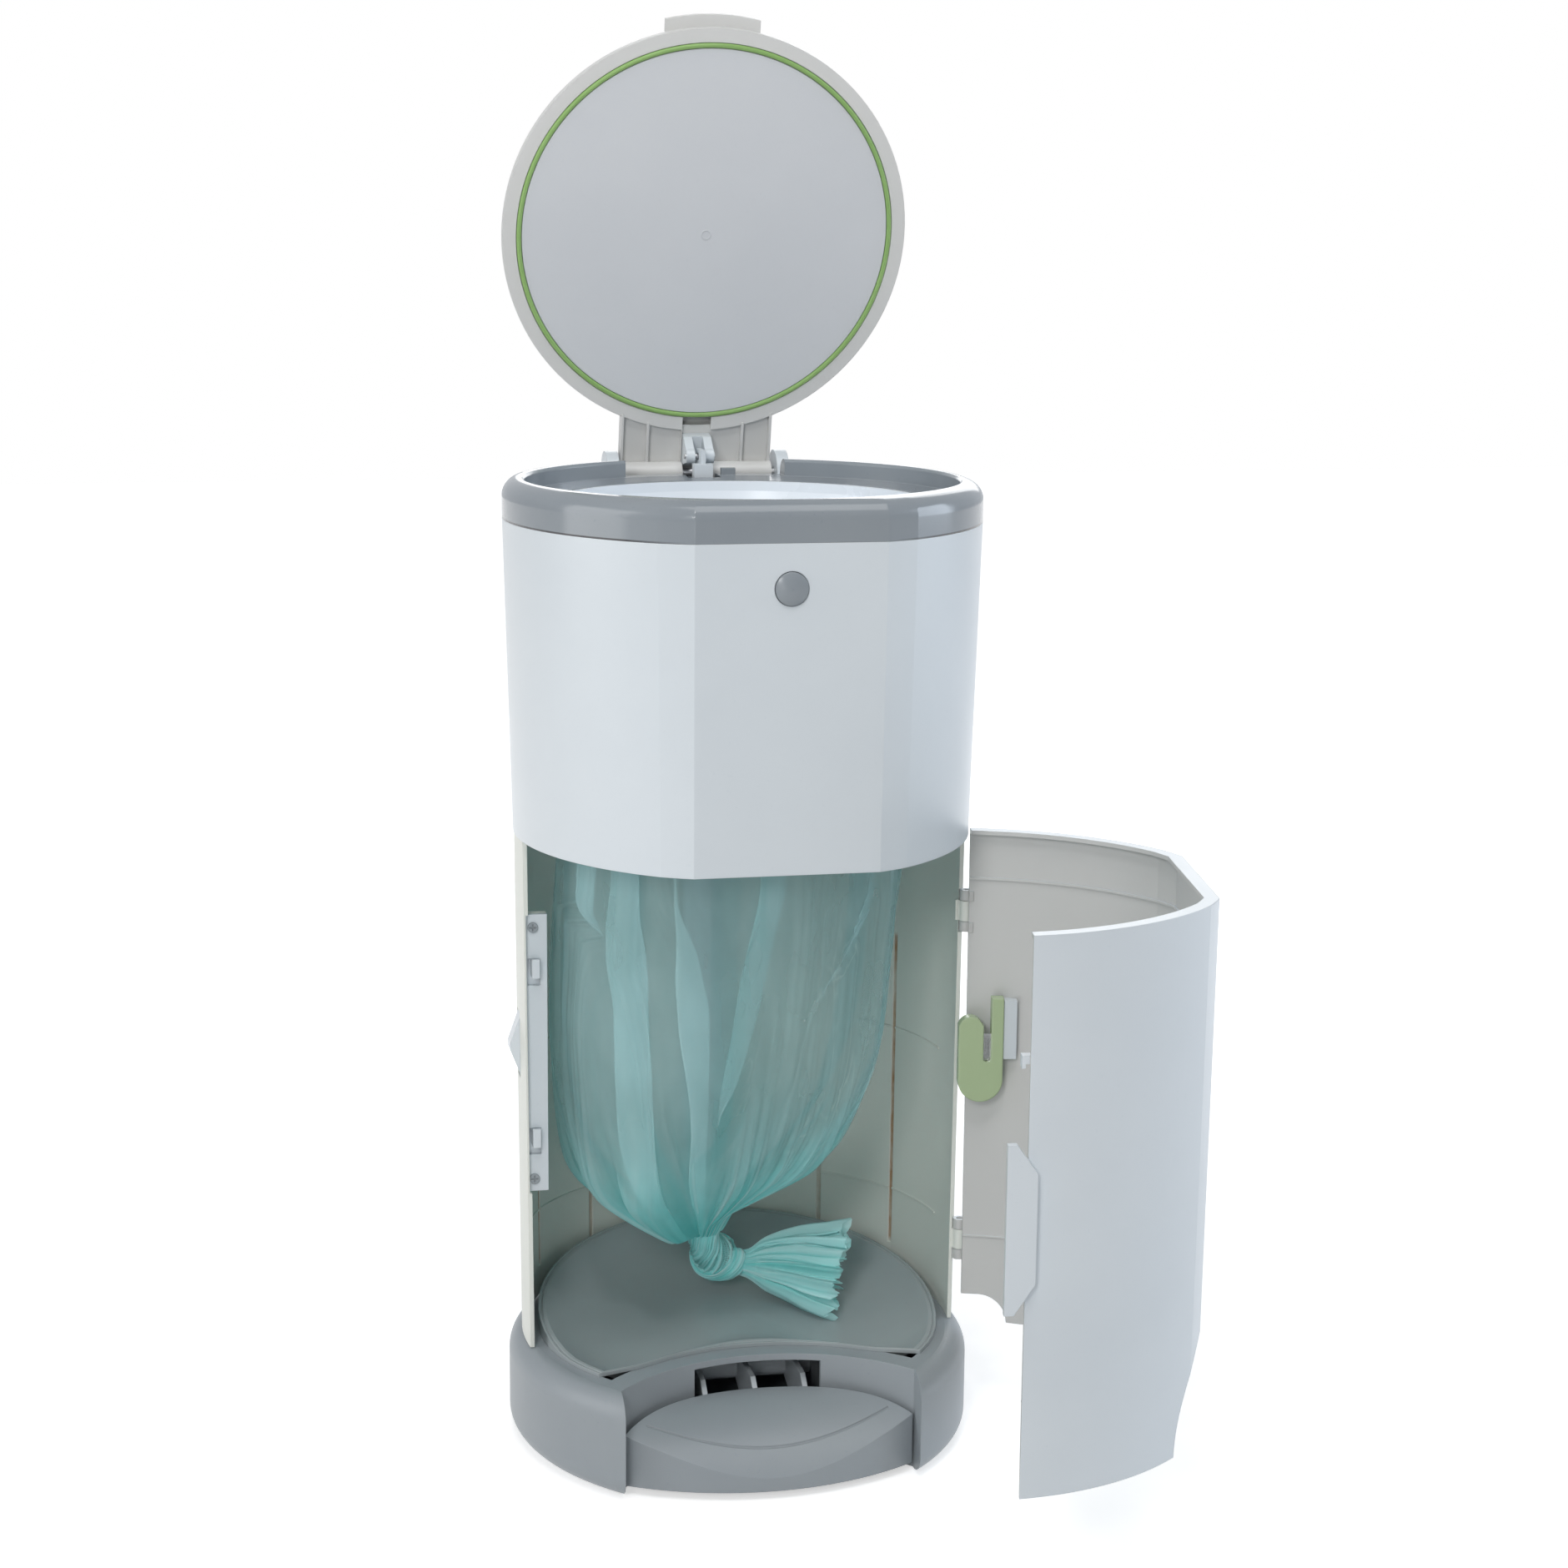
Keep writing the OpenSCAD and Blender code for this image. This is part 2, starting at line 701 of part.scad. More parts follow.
module latch_plate() color(white) {
  difference() {
    intersection() {
      span([-latch_x0, -plate_y, latch_z0], [-latch_x1, -plate_y + latch_plate_t, latch_z1]);
      body_block(latch_z0, latch_z1, bay_inset(latch_z0) + 1.5, bay_inset(latch_z1) + 1.5);
    }
    for (z = catch_at)
      span([-latch_x - 2, -plate_y - 1, z - 10.5], [-latch_x + 5, -plate_y + 5, z + 5.3]);
    for (z = [latch_z0 + latch_screw_in, latch_z1 - latch_screw_in])
      translate([-latch_x + 1, -plate_y - 1, z])
        rotate([-90, 0, 0]) cylinder(h = 6, d = 2.4, $fn = 48);
  }
}

module latch_screws() color(grey) {
  for (z = [latch_z0 + latch_screw_in, latch_z1 - latch_screw_in])
    translate([-latch_x + 1, -plate_y, z])
      rotate([-90, 0, 0])
        difference() {
          union() {
            translate([0, 0, -1.2]) cylinder(h = 1.2, d = 6, $fn = 48);
            translate([0, 0, -0.2]) cylinder(h = latch_plate_t + 4, d = 2, $fn = 48);
          }
          for (turn = [0, 90])
            rotate([0, 0, turn]) span([-1.9, -0.35, -2], [1.9, 0.35, -0.6]);
        }
}

module latch_slider() color(white) {
  back = -plate_y + latch_plate_t + slider_gap;
  span(
    [-latch_x - 2.5, back, latch_z0 + 16 + latch_travel + 1],
    [-latch_x + 5.5, back + slider_t - slider_gap, latch_z1 - 12 - 1]
  );
  for (z = catch_at) {
    span([-latch_x - 0.2, -plate_y - 5, z - 5], [-latch_x + 4.2, back + 1, z + 4]);
    // Lip that holds the door's hook
    span([-latch_x - 0.2, -plate_y - 6, z - 5], [-latch_x + 4.2, -plate_y - 3.5, z + 6]);
  }
}

module release_button() color(white) {
  x = side_x(0, bay_inset(button_z));
  intersection() {
    union() {
      translate([0, button_y + button_w / 2, 0])
        rotate([90, 0, 0])
          linear_extrude(height = button_w)
            polygon([
              [-x + 1, button_z - button_half], [-x - button_proud, button_z - 3],
              [-x - button_proud, button_z + 1], [-x + 1, button_z + button_half]
            ]);
      span(
        [-x + 0.9, button_y - button_w / 2, button_z - button_half],
        [-x + 4, button_y + button_w / 2, button_z + button_half]
      );
    }
    span([-far, -far, 0], [0, far, far]);
  }
}

// Frame between the bay and the drum

frame_t = 3.5;
frame_open_r = 108;

module mid_frame() color(white) {
  z0 = z_mid + fit;
  z1 = z0 + frame_t;
  difference() {
    body_block(z0, z1, drum_inset(z0) + wall + fit, drum_inset(z1) + wall + fit);
    translate([0, 0, z0 - 1]) cylinder(h = frame_t + 2, r = frame_open_r);
    translate([0, rod_y, z0 - 1]) cylinder(h = frame_t + 2, d = rod_d + 2 * rod_gap);
  }
}

// White drum with the lock button's hole in front and the crank's slot behind

slot_half = 10;
slot_low = 21;
button_at_z = z_rim - 24;
facet_at_button = facet_y - drum_inset(z_rim - 24);

module upper_drum() color(white) {
  difference() {
    body_block(z_mid, z_rim, drum_taper, 0);
    body_block(z_mid - 1, z_rim + 1, drum_taper + wall, wall);
    translate([0, -facet_at_button + 10, button_at_z])
      rotate([90, 0, 0]) cylinder(h = 20, d = button_d + 2 * fit);
    span([-slot_half, mouth_r, z_rim - slot_low], [slot_half, far, z_rim + 1]);
  }
}

// Grey collar on the drum, with a rounded outer edge and a sunk ledge for the lid

collar_round = 10;
ledge_r = 122.5;
ledge_out = 10;
ledge_in = 11.5;
ledge_t = 5;
notch_x = 48.5;
notch_floor = 12;

module collar_profile() {
  translate([0, z_rim]) square([$reach, collar_h - collar_round]);
  translate([0, z_rim]) square([$reach - collar_round, collar_h]);
  translate([$reach - collar_round, z_crest - collar_round]) circle(r = collar_round);
}

module rim_collar() color(grey) {
  difference() {
    body_turn(side_k, z_rim) collar_profile();
    // Mouth, sloping ledge and upright wall inside the crest
    translate([0, 0, z_rim - 1]) cylinder(h = 100, r = mouth_r);
    translate([0, 0, z_crest - ledge_in])
      cylinder(h = ledge_in - ledge_out, r1 = mouth_r, r2 = ledge_r);
    translate([0, 0, z_crest - ledge_out]) cylinder(h = 100, r = ledge_r);
    translate([0, 0, z_crest - 1.5]) cylinder(h = 1.6, r1 = ledge_r, r2 = ledge_r + 1.6);
    // Hollow underside
    difference() {
      translate([0, 0, z_rim - 1])
        body_block(0, 1 + collar_h - ledge_in - ledge_t, wall, wall);
      translate([0, 0, z_rim - 1]) cylinder(h = 100, r = 100);
    }
    // Notch for the lid's tongue, and slot for its crank
    span([-notch_x, 100, z_rim + notch_floor], [notch_x, far, z_crest + 1]);
    span([-slot_half, mouth_r + 10, z_rim - 1], [slot_half, far, z_crest + 1]);
  }
  // Guide rib beside the crank's slot, under the tongue
  span(
    [slot_half + 1.3, ledge_r - 0.9, z_rim + notch_floor - 1],
    [slot_half + 10, ledge_r + 2.1, tongue_z0 - 0.6]
  );
}

// Funnel in the mouth, the plate under it that carries the two flaps, and the neck tube below

funnel_top = z_crest - 11.8;
flange_r = 112;
flange_z0 = z_crest - ledge_in - ledge_t - 3;
flange_t = 2.6;
lip_t = 2.5;
floor_t = 2.5;
neck_t = 2;
floor_z = z_crest - 11 - funnel_depth;
neck_low = floor_z - neck_h;
mouth_out = mouth_r - fit;
refill_lug_h = 3.5;
refill_lug_out = 3.6;
refill_lug_half = 8;
flap_t = 2;
flap_gap = 0.3;
flap_x = drop_w / 2 + 4;
flap_axis_z = floor_z - floor_t - 3.3;
flap_knuckle_r = 2.7;
flap_pin_d = 3;
lug_r = 3.5;
lug_t = 3;
// The lugs' outer corners stay inside the neck tube, which sets the drop opening's length
neck_room = 1.7;
lug_y = sqrt(pow(neck_r - neck_t - neck_room, 2) - pow(flap_x + lug_r, 2)) - lug_t / 2;
drop_l = 2 * (lug_y - 4);

module funnel() color(white) {
  rotate_extrude()
    polygon([
      [neck_r - lip_t, floor_z], [neck_r, floor_z], [mouth_out, flange_z0], [flange_r, flange_z0],
      [flange_r, flange_z0 + flange_t], [mouth_out, flange_z0 + flange_t], [mouth_out, funnel_top],
      [mouth_out - lip_t, funnel_top], [mouth_out - lip_t, flange_z0 + flange_t - 0.5]
    ]);
}

module flap_plate() color(white) {
  difference() {
    translate([0, 0, floor_z - floor_t]) cylinder(h = floor_t, r = neck_r);
    span([-drop_w / 2, -drop_l / 2, floor_z - 5], [drop_w / 2, drop_l / 2, floor_z + 1]);
  }
  difference() {
    for (side = [-1, 1], end = [-1, 1])
      flap_lug(side * flap_x, end * lug_y);
    for (side = [-1, 1])
      flap_bar(side * flap_x, flap_pin_d + 2 * pin_fit, drop_l + 30);
  }
}

module neck_tube() color(white) {
  ring(neck_r - neck_t, neck_r, neck_low, floor_z - floor_t);
  // Lugs that carry the refill
  for (turn = [0:60:300])
    rotate([0, 0, turn + 30])
      intersection() {
        ring(neck_r - 1, neck_r + refill_lug_out, neck_low, neck_low + refill_lug_h);
        span([0, -refill_lug_half, 0], [far, refill_lug_half, far * 2]);
      }
}

module flap_lug(x, y) {
  translate([x, y - lug_t / 2, 0]) {
    span([-lug_r, 0, flap_axis_z], [lug_r, lug_t, floor_z - floor_t + 0.5]);
    translate([0, 0, flap_axis_z]) rotate([-90, 0, 0]) cylinder(h = lug_t, r = lug_r, $fn = 48);
  }
}

module flap_bar(x, d, length) {
  translate([x, -length / 2, flap_axis_z]) rotate([-90, 0, 0]) cylinder(h = length, d = d, $fn = 48);
}

// A flap hangs under the floor and swings down about a pin along its outer edge
module flap(side) {
  reach = drop_l / 2 + 2;
  top = floor_z - floor_t - flap_gap;
  difference() {
    union() {
      span(
        [side > 0 ? 0.5 : -flap_x - 1, -reach, top - flap_t],
        [side > 0 ? flap_x + 1 : -0.5, reach, top]
      );
      flap_bar(side * flap_x, 2 * flap_knuckle_r, 2 * reach);
      // Stiffening ribs below
      for (y = [-reach * 0.6, 0, reach * 0.6])
        span(
          [side > 0 ? 6 : -flap_x, y - 1, top - flap_t - 3],
          [side > 0 ? flap_x : -6, y + 1, top - flap_t + 0.5]
        );
    }
    flap_bar(side * flap_x, flap_pin_d + 2 * pin_fit, drop_l + 30);
  }
}

module flap_left() color(white) {
  flap(-1);
}

module flap_right() color(white) {
  flap(1);
}

module flap_pins() color(steel) {
  for (side = [-1, 1])
    flap_bar(side * flap_x, flap_pin_d, 2 * (lug_y + lug_t / 2) + 1);
}

// Refill ring that the film is drawn from, with its cap

refill_in = neck_r + 1;
refill_out = 116;
refill_t = 2;
refill_z0 = neck_low + refill_lug_h + fit;
refill_z1 = refill_z0 + refill_h;

module refill_ring() color(white) {
  rotate_extrude()
    polygon([
      [refill_in, refill_z0], [refill_out, refill_z0], [refill_out, refill_z1],
      [refill_out - refill_t, refill_z1], [refill_out - refill_t, refill_z0 + refill_t],
      [refill_in + refill_t, refill_z0 + refill_t], [refill_in + refill_t, refill_z1 - 4],
      [refill_in, refill_z1 - 4]
    ]);
}

module refill_cap() color(lilac) {
  ring(refill_in + 4, refill_out + 1, refill_z1 + fit, refill_z1 + fit + 2);
  ring(refill_out - refill_t - 2.3, refill_out - refill_t - fit, refill_z1 - 4, refill_z1 + fit + 0.5);
}

// The film, hanging from the neck to its knot, and the tail below the knot

film_lean = [-15, 20];
film_t = 1;
film_r = neck_r - 0.2;
film_top = neck_low - fit;
film_sides = 48;
knot_z = base_h + 48;
knot_r = 9;
// The film's radius, as a share of its radius at the neck, at shares of its fall
film_curve = [
  [0.09, 0], [0.16, 0.035], [0.5, 0.09], [0.74, 0.143], [0.855, 0.19], [0.96, 0.275],
  [1.03, 0.385], [1.045, 0.53], [1.05, 0.69], [1.035, 0.85], [1, 1]
];

function film_ring(row, thick) = [
  for (i = [0:film_sides - 1])
    let (a = 360 * i / film_sides, r = film_r * row[0] - thick)
    [
      film_lean[0] * (1 - row[1]) + r * cos(a), film_lean[1] * (1 - row[1]) + r * sin(a),
      knot_z + (film_top - knot_z) * row[1] + (row[1] == 0 ? thick : 0)
    ]
];

module bag_film() color(teal) {
  rows = len(film_curve);
  skin(
    concat(
      [for (row = film_curve) film_ring(row, 0)],
      [for (i = [1:rows]) film_ring(film_curve[rows - i], film_t)]
    ),
    [film_lean[0], film_lean[1], knot_z],
    [film_lean[0], film_lean[1], knot_z + film_t]
  );
}

// Middle of the knot that lies behind the neck, and the tail's ragged end
tail_knot = [-4, 48, base_h + 24];
tail_end = [68, 12, base_h + 25];
// The tail's radius at distances from the knot's middle, drawn about its own line
tail_profile = [
  [0, -11.4], [4.5, -10.5], [8.6, -7.4], [11, -3], [11.4, 1.5], [10.4, 6], [8.2, 10.5], [6.6, 15],
  [6, 20], [6.4, 25], [8, 32], [11, 42], [15, 54], [19.5, 66], [23, 75], [24.5, 80], [24, 82.5],
  [0, 80]
];

// Draws its children, made along Z, from one point towards another
module aimed(from, to) {
  d = to - from;
  translate(from) rotate([0, acos(d[2] / norm(d)), atan2(d[1], d[0])]) children();
}

module bag_tail() color(teal) {
  neck = [film_lean[0], film_lean[1], knot_z - knot_r];
  translate(neck) cylinder(h = knot_r - fit, r = knot_r - 1.5, $fn = 48);
  translate(neck) sphere(r = knot_r, $fn = 48);
  aimed(neck, tail_knot) cylinder(h = norm(tail_knot - neck), r = knot_r - 2, $fn = 48);
  aimed(tail_knot, tail_end) rotate_extrude() polygon(tail_profile);
}

// Hinge housing behind the drum, with cheeks for the hinge pin

cheek_t = 7.5;
housing_r = 13.7;
housing_t = 3;
housing_low = 34;

module housing_side(margin) {
  r = housing_r - margin;
  translate([pivot_y, pivot_z]) circle(r = r);
  polygon([
    [mouth_r, pivot_z], [mouth_r, z_rim - housing_low + margin], [half_w - 1, z_rim - housing_low + margin],
    [pivot_y + r, z_rim - 10 + margin], [pivot_y + r, pivot_z]
  ]);
}

module hinge_housing() color(white) {
  difference() {
    rotate([90, 0, 90])
      linear_extrude(height = 2 * (notch_x + cheek_t), center = true)
        housing_side(0);
    rotate([90, 0, 90])
      linear_extrude(height = 2 * notch_x, center = true)
        housing_side(housing_t);
    // Open top, for the tongue to swing in
    span([-notch_x, 0, pivot_z + 2], [notch_x, far, pivot_z + 60]);
    span([-notch_x, 0, pivot_z - 20], [notch_x, pivot_y, pivot_z + 60]);
    // Seat on the drum's back and round the collar
    translate([0, 0, z_rim - 60])
      body_block(0, 61, -fit + drum_inset(z_rim - 60), -fit);
    body_block(z_rim - 1, z_crest + 40, -fit, -fit);
    translate([0, pivot_y, pivot_z]) bar_x(hinge_pin_d + 2 * pin_fit, far);
  }
}

module hinge_pin() color(steel) {
  translate([0, pivot_y, pivot_z]) bar_x(hinge_pin_d, 2 * (notch_x + cheek_t) - 2);
}

// Lid, drawn shut and then swung open about its hinge pin

lid_z0 = z_crest - 8.6;
lid_side = 10;
lid_wall = 2.4;
lid_round = 8;
rim_t = 2.6;
tab_half = 28;
tab_reach = 127;
tongue_t = 4;
tongue_z0 = z_crest - 5;
barrel_r = 7;
disc_r = seal_r - seal_t / 2 - fit;
seal_drop = 1.2;
ribs_x = [-45.6, -29.9, -8.3, 6.6, 28.3, 45.5];

module lid_pose() {
  translate([0, pivot_y, pivot_z]) rotate([-lid_open, 0, 0]) translate([0, -pivot_y, -pivot_z]) children();
}

// Half profile of the lid's outside or, drawn in by a margin, of its hollow
module lid_half(margin) {
  r = lid_r - margin;
  top = lid_z0 + lid_side + dome_h - margin;
  dome = (lid_r * lid_r + dome_h * dome_h) / (2 * dome_h);
  edge = max(lid_round - margin, 1);
  intersection() {
    translate([0, top - dome]) circle(r = dome, $fn = 360);
    union() {
      translate([0, lid_z0 - margin]) square([r, lid_side + 2 - edge + margin]);
      translate([0, lid_z0 - margin]) square([r - edge, far]);
      translate([r - edge, lid_z0 + lid_side + 2 - edge]) circle(r = edge);
    }
    translate([0, lid_z0 - margin]) square([r, far]);
  }
}

module lid_shell() color(white) {
  lid_pose()
    difference() {
      union() {
        difference() {
          rotate_extrude($fn = 144) lid_half(0);
          rotate_extrude($fn = 144) lid_half(lid_wall);
        }
        ring(seal_r + seal_t / 2 + fit, lid_r - 1, lid_z0, lid_z0 + rim_t);
        // Front tab
        intersection() {
          ring(lid_r - lid_round, tab_reach, z_crest + 0.8, z_crest + 3.4);
          span([-tab_half, -far, 0], [tab_half, 0, far * 2]);
        }
        difference() {
          tongue();
          translate([0, 0, lid_z0 - 20]) cylinder(h = 60, r = lid_r - 1.5);
        }
      }
      translate([0, pivot_y, pivot_z]) bar_x(hinge_pin_d + 2 * pin_fit, far);
      // Gap in the barrel for the crank bracket
      span([-clevis_half - fit, 100, lid_z0 - 30], [clevis_half + fit, far, tongue_z0]);
    }
}

module tongue() {
  half = tongue_w / 2;
  span([-half, 100, tongue_z0], [half, pivot_y, tongue_z0 + tongue_t]);
  translate([0, pivot_y, pivot_z]) {
    bar_x(2 * barrel_r, tongue_w);
    rotate([90, 0, 90])
      linear_extrude(height = tongue_w, center = true)
        intersection() {
          circle(r = tongue_z0 + tongue_t - pivot_z);
          translate([0, 0]) square([20, 20]);
        }
  }
  for (x = ribs_x)
    span([x - 0.8, 110, tongue_z0 - 4], [x + 0.8, pivot_y - 4, tongue_z0 + 1]);
}

module lid_disc() color(lilac) {
  lid_pose() {
    translate([0, 0, lid_z0]) cylinder(h = 2, r = disc_r);
    ring(disc_r - 5, disc_r - 2.5, lid_z0 + 1, lid_z0 + 5);
    // Ring mark left by the mould gate
    ring(2.4, 3, lid_z0 - 0.3, lid_z0 + 0.5);
  }
}

module lid_seal() color(green) {
  lid_pose() {
    rotate_extrude($fn = 144)
      translate([seal_r, lid_z0 - seal_drop + seal_t / 2]) circle(r = seal_t / 2, $fn = 32);
    ring(seal_r - seal_t / 2, seal_r + seal_t / 2, lid_z0 + seal_t / 2 - seal_drop, lid_z0 + 2);
  }
}

clevis_half = 8.5;
ear_in = 3.2;
boss_clevis_r = 4.3;

// Bracket under the tongue, with two ears that hold the crank pin
module lid_clevis() color(white) {
  y = pivot_y - crank_y;
  z = pivot_z - crank_z;
  lid_pose()
    difference() {
      union() {
        translate([-clevis_half, 0, 0])
          rotate([90, 0, 90])
            linear_extrude(height = 2 * clevis_half)
              polygon([
                [y - 9, tongue_z0], [y + 10, tongue_z0], [y + 10, z + 12], [y + boss_clevis_r - 0.3, z],
                [y - boss_clevis_r + 0.3, z], [y - 9, z + 10]
              ]);
        translate([0, y, z]) bar_x(2 * boss_clevis_r, 2 * clevis_half);
      }
      span([-ear_in, 0, z - 10], [ear_in, far, z + 11]);
      translate([0, y, z]) bar_x(crank_pin_d + 2 * pin_fit, far);
    }
}

module clevis_pin() color(steel) {
  lid_pose() translate([0, pivot_y - crank_y, pivot_z - crank_z]) bar_x(crank_pin_d, 2 * crank_pin_half);
}

// Lock button in the front panel, with the guide behind it

button_flange = 1.5;
guide_wall = 1.6;
guide_len = button_travel + 10;

module lock_button() color(grey) {
  y = facet_at_button;
  translate([0, -y, button_at_z])
    rotate([-90, 0, 0])
      difference() {
        union() {
          intersection() {
            translate([0, 0, -2]) cylinder(h = 7, d = button_d);
            translate([0, 0, -2 + 40]) sphere(r = 40, $fn = 192);
          }
          translate([0, 0, wall + 0.5]) cylinder(h = button_flange, d = button_d + 2.6);
          cylinder(h = 12, d = 5, $fn = 48);
        }
        translate([0, 0, wall + 1]) ring(2.5, button_d / 2 - 2, 0, 6);
      }
}

module button_guide() color(off_white) {
  r = button_d / 2 + 1.3 + fit;
  translate([0, -facet_at_button + wall + 0.45, button_at_z])
    rotate([-90, 0, 0]) {
      ring(r, r + guide_wall, 0, guide_len);
      ring(2.5 + 0.35, r + 0.5, guide_len - guide_wall, guide_len);
    }
}

// Door, drawn shut and then swung open about its hinge pins

door_wall = 2.5;
flange_w = 8;
niche_wall = 2.5;
step_y = 31;
step_z = 17.5;
step_r = 16.5;
grip_z = [base_h + 103, base_h + 193];
ledge_below = 30;
grip_t = 5;
hook_reach = 4.2;

module door_pose() {
  translate([door_hinge_x, -split_y, 0])
    rotate([0, 0, door_open])
      translate([-door_hinge_x, split_y, 0])
        children();
}

// Toe recess: an arch along Y that ends at the hollow behind the pedal
module toe_space(margin) {
  intersection() {
    translate([0, 0, base_h + 1]) rotate([90, 0, 0]) cylinder(h = far, r = arch_r + margin);
    translate([0, scoop_centre_y, 0]) cylinder(h = far, r = scoop_r + margin);
    span([-far, -far, margin > 0 ? z_door0 : 0], [far, 0, far]);
  }
}

module door_front(z0, z1, inset) {
  difference() {
    body_block(z0, z1, bay_inset(z0) + inset, bay_inset(z1) + inset);
    span([-far, -split_y - door_gap, 0], [far, far, far * 2]);
  }
}

module door_shell() color(white) {
  door_pose()
    difference() {
      union() {
        difference() {
          door_front(z_door0, z_door1, 0);
          door_front(z_door0 - 1, z_door1 + 1, door_wall);
        }
        // Inward flange along the top, and a ledge below it
        difference() {
          door_front(z_door1 - 2.5, z_door1, 0.5);
          door_front(z_door1 - 3.5, z_door1 + 1, flange_w);
        }
        door_ledge(z_door1 - ledge_below, 1.5, 1);
        door_ledge(line_at[0], line_t, line_proud);
        intersection() {
          toe_space(niche_wall);
          body_block(z_door0, z_mid, bay_inset(z_door0) + 0.5, bay_inset(z_mid) + 0.5);
        }
        grip();
        for (z = hinge_at, side = [-1, 1])
          translate([0, 0, z + side * (1.5 * knuckle_half + fit)]) {
            knuckle(knuckle_half / 2, knuckle_r);
            knuckle_web(knuckle_half / 2, -1);
          }
      }
      toe_space(0);
      // Raised foot beside the hinge
      span([100, -step_y, 0], [far, 0, base_h + step_z]);
      translate([100, -step_y, base_h + 1]) rotate([0, 90, 0]) cylinder(h = far, r = step_r);
      for (z = hinge_at) {
        translate([0, 0, z]) knuckle(knuckle_half + fit, knuckle_r + 0.5);
        translate([0, 0, z]) knuckle(2 * knuckle_half + 1, door_pin_d / 2 + pin_fit);
      }
    }
}

// A moulded line round the door's inside
module door_ledge(z, t, proud) {
  difference() {
    door_front(z, z + t, 0.5);
    door_front(z - 1, z + t + 1, door_wall + proud);
  }
}

// Grip moulded on the door's free edge, lapping over the casing
module grip() {
  z0 = grip_z[0];
  z1 = grip_z[1];
  intersection() {
    difference() {
      body_block(z0, z1, bay_inset(z0) - grip_t, bay_inset(z1) - grip_t);
      difference() {
        body_block(z0 - 1, z1 + 1, bay_inset(z0) - 0.5, bay_inset(z1) - 0.5);
        span([-far, -far, 0], [0, -split_y - door_gap, far]);
      }
      body_block(z0 - 1, z1 + 1, bay_inset(z0) + 1, bay_inset(z1) + 1);
    }
    rotate([90, 0, -90])
      linear_extrude(height = far)
        polygon([[10, z0], [10, z1], [15, z1], [26, z1 - 16], [26, z0 + 16], [15, z0]]);
  }
}

module door_pins() color(steel) {
  for (z = hinge_at)
    translate([door_hinge_x, -split_y, z - 2 * knuckle_half + 0.5])
      cylinder(h = 4 * knuckle_half - 1, d = door_pin_d, $fn = 48);
}

// Hooks on the door's free edge that the latch lips hold
module door_hooks() color(white) {
  x1 = -latch_x + hook_reach;
  door_pose()
    for (z = catch_at)
      intersection() {
        side_cone(
          side_k, z - 20, z + 20,
          bay_inset(z - 20) + door_wall + fit, bay_inset(z + 20) + door_wall + fit, $fn = 360
        );
        union() {
          span([-far, -split_y - 10, z - 16], [-latch_x + 1, -split_y - 2, z + 11]);
          span([-far, -split_y - 3, z + 6.6], [x1, -plate_y - 1.2, z + 11]);
          span([-far, -plate_y - 3.2, z + 4.3], [x1, -plate_y - 1.2, z + 8]);
        }
      }
}

// Film cutter on the door's inner side

cutter_z0 = base_h + 140;
cutter_z1 = cutter_z0 + 62;
cutter_x0 = half_w - 25;
cutter_t = 7;

module cutter_outline() {
  difference() {
    union() {
      translate([-28, cutter_z0 + 13]) circle(r = 13);
      translate([-41, cutter_z0 + 12]) square([26, 34]);
      translate([-22, cutter_z0 + 44]) circle(r = 7);
      translate([-41, cutter_z0 + 40]) square([7, 22]);
      translate([-37, cutter_z1 - 4]) circle(r = 4);
    }
    // Slot that the film is drawn into
    translate([-34, cutter_z0 + 26]) square([4.5, 60]);
    translate([-31.75, cutter_z0 + 26]) circle(r = 2.25);
  }
}

module cutter_body() color(pale_green) {
  door_pose()
    difference() {
      translate([cutter_x0, 0, 0])
        rotate([90, 0, 90])
          linear_extrude(height = cutter_t)
            cutter_outline();
      // Slit for the blade
      span([cutter_x0 + 3, -34.5, cutter_z0 + 23.5], [cutter_x0 + 4, -28.5, cutter_z0 + 45]);
    }
}

module cutter_blade() color(steel) {
  door_pose()
    span([cutter_x0 + 3.2, -34.2, cutter_z0 + 24], [cutter_x0 + 3.8, -28.8, cutter_z0 + 40]);
}

module cutter_bracket() color(white) {
  z0 = cutter_z0 + 25;
  z1 = cutter_z1 - 2;
  door_pose()
    intersection() {
      union() {
        span([cutter_x0 + 2, -49, z0], [far, -41 - fit, z1]);
        span([cutter_x0 + cutter_t + fit, -49, z0], [far, -18 - split_y, z0 + 12]);
      }
      body_block(z0, z1, bay_inset(z0) + door_wall + fit, bay_inset(z1) + door_wall + fit);
    }
}

base_shell();
base_plate();
rubber_feet();
tray();
pedal();
pedal_lever();
pedal_axle();
push_rod();
rod_head();
rod_channel();
rear_casing();
mid_frame();
upper_drum();
rim_collar();
funnel();
flap_plate();
neck_tube();
flap_left();
flap_right();
flap_pins();
refill_ring();
refill_cap();
bag_film();
bag_tail();
hinge_housing();
hinge_pin();
lid_shell();
lid_disc();
lid_seal();
lid_clevis();
clevis_pin();
lock_button();
button_guide();
door_shell();
door_hooks();
door_pins();
cutter_bracket();
cutter_body();
cutter_blade();
latch_plate();
latch_slider();
release_button();
latch_screws();
casing_screws();
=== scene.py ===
import json
import math

import bmesh
import bpy
from mathutils import Matrix, Vector, noise


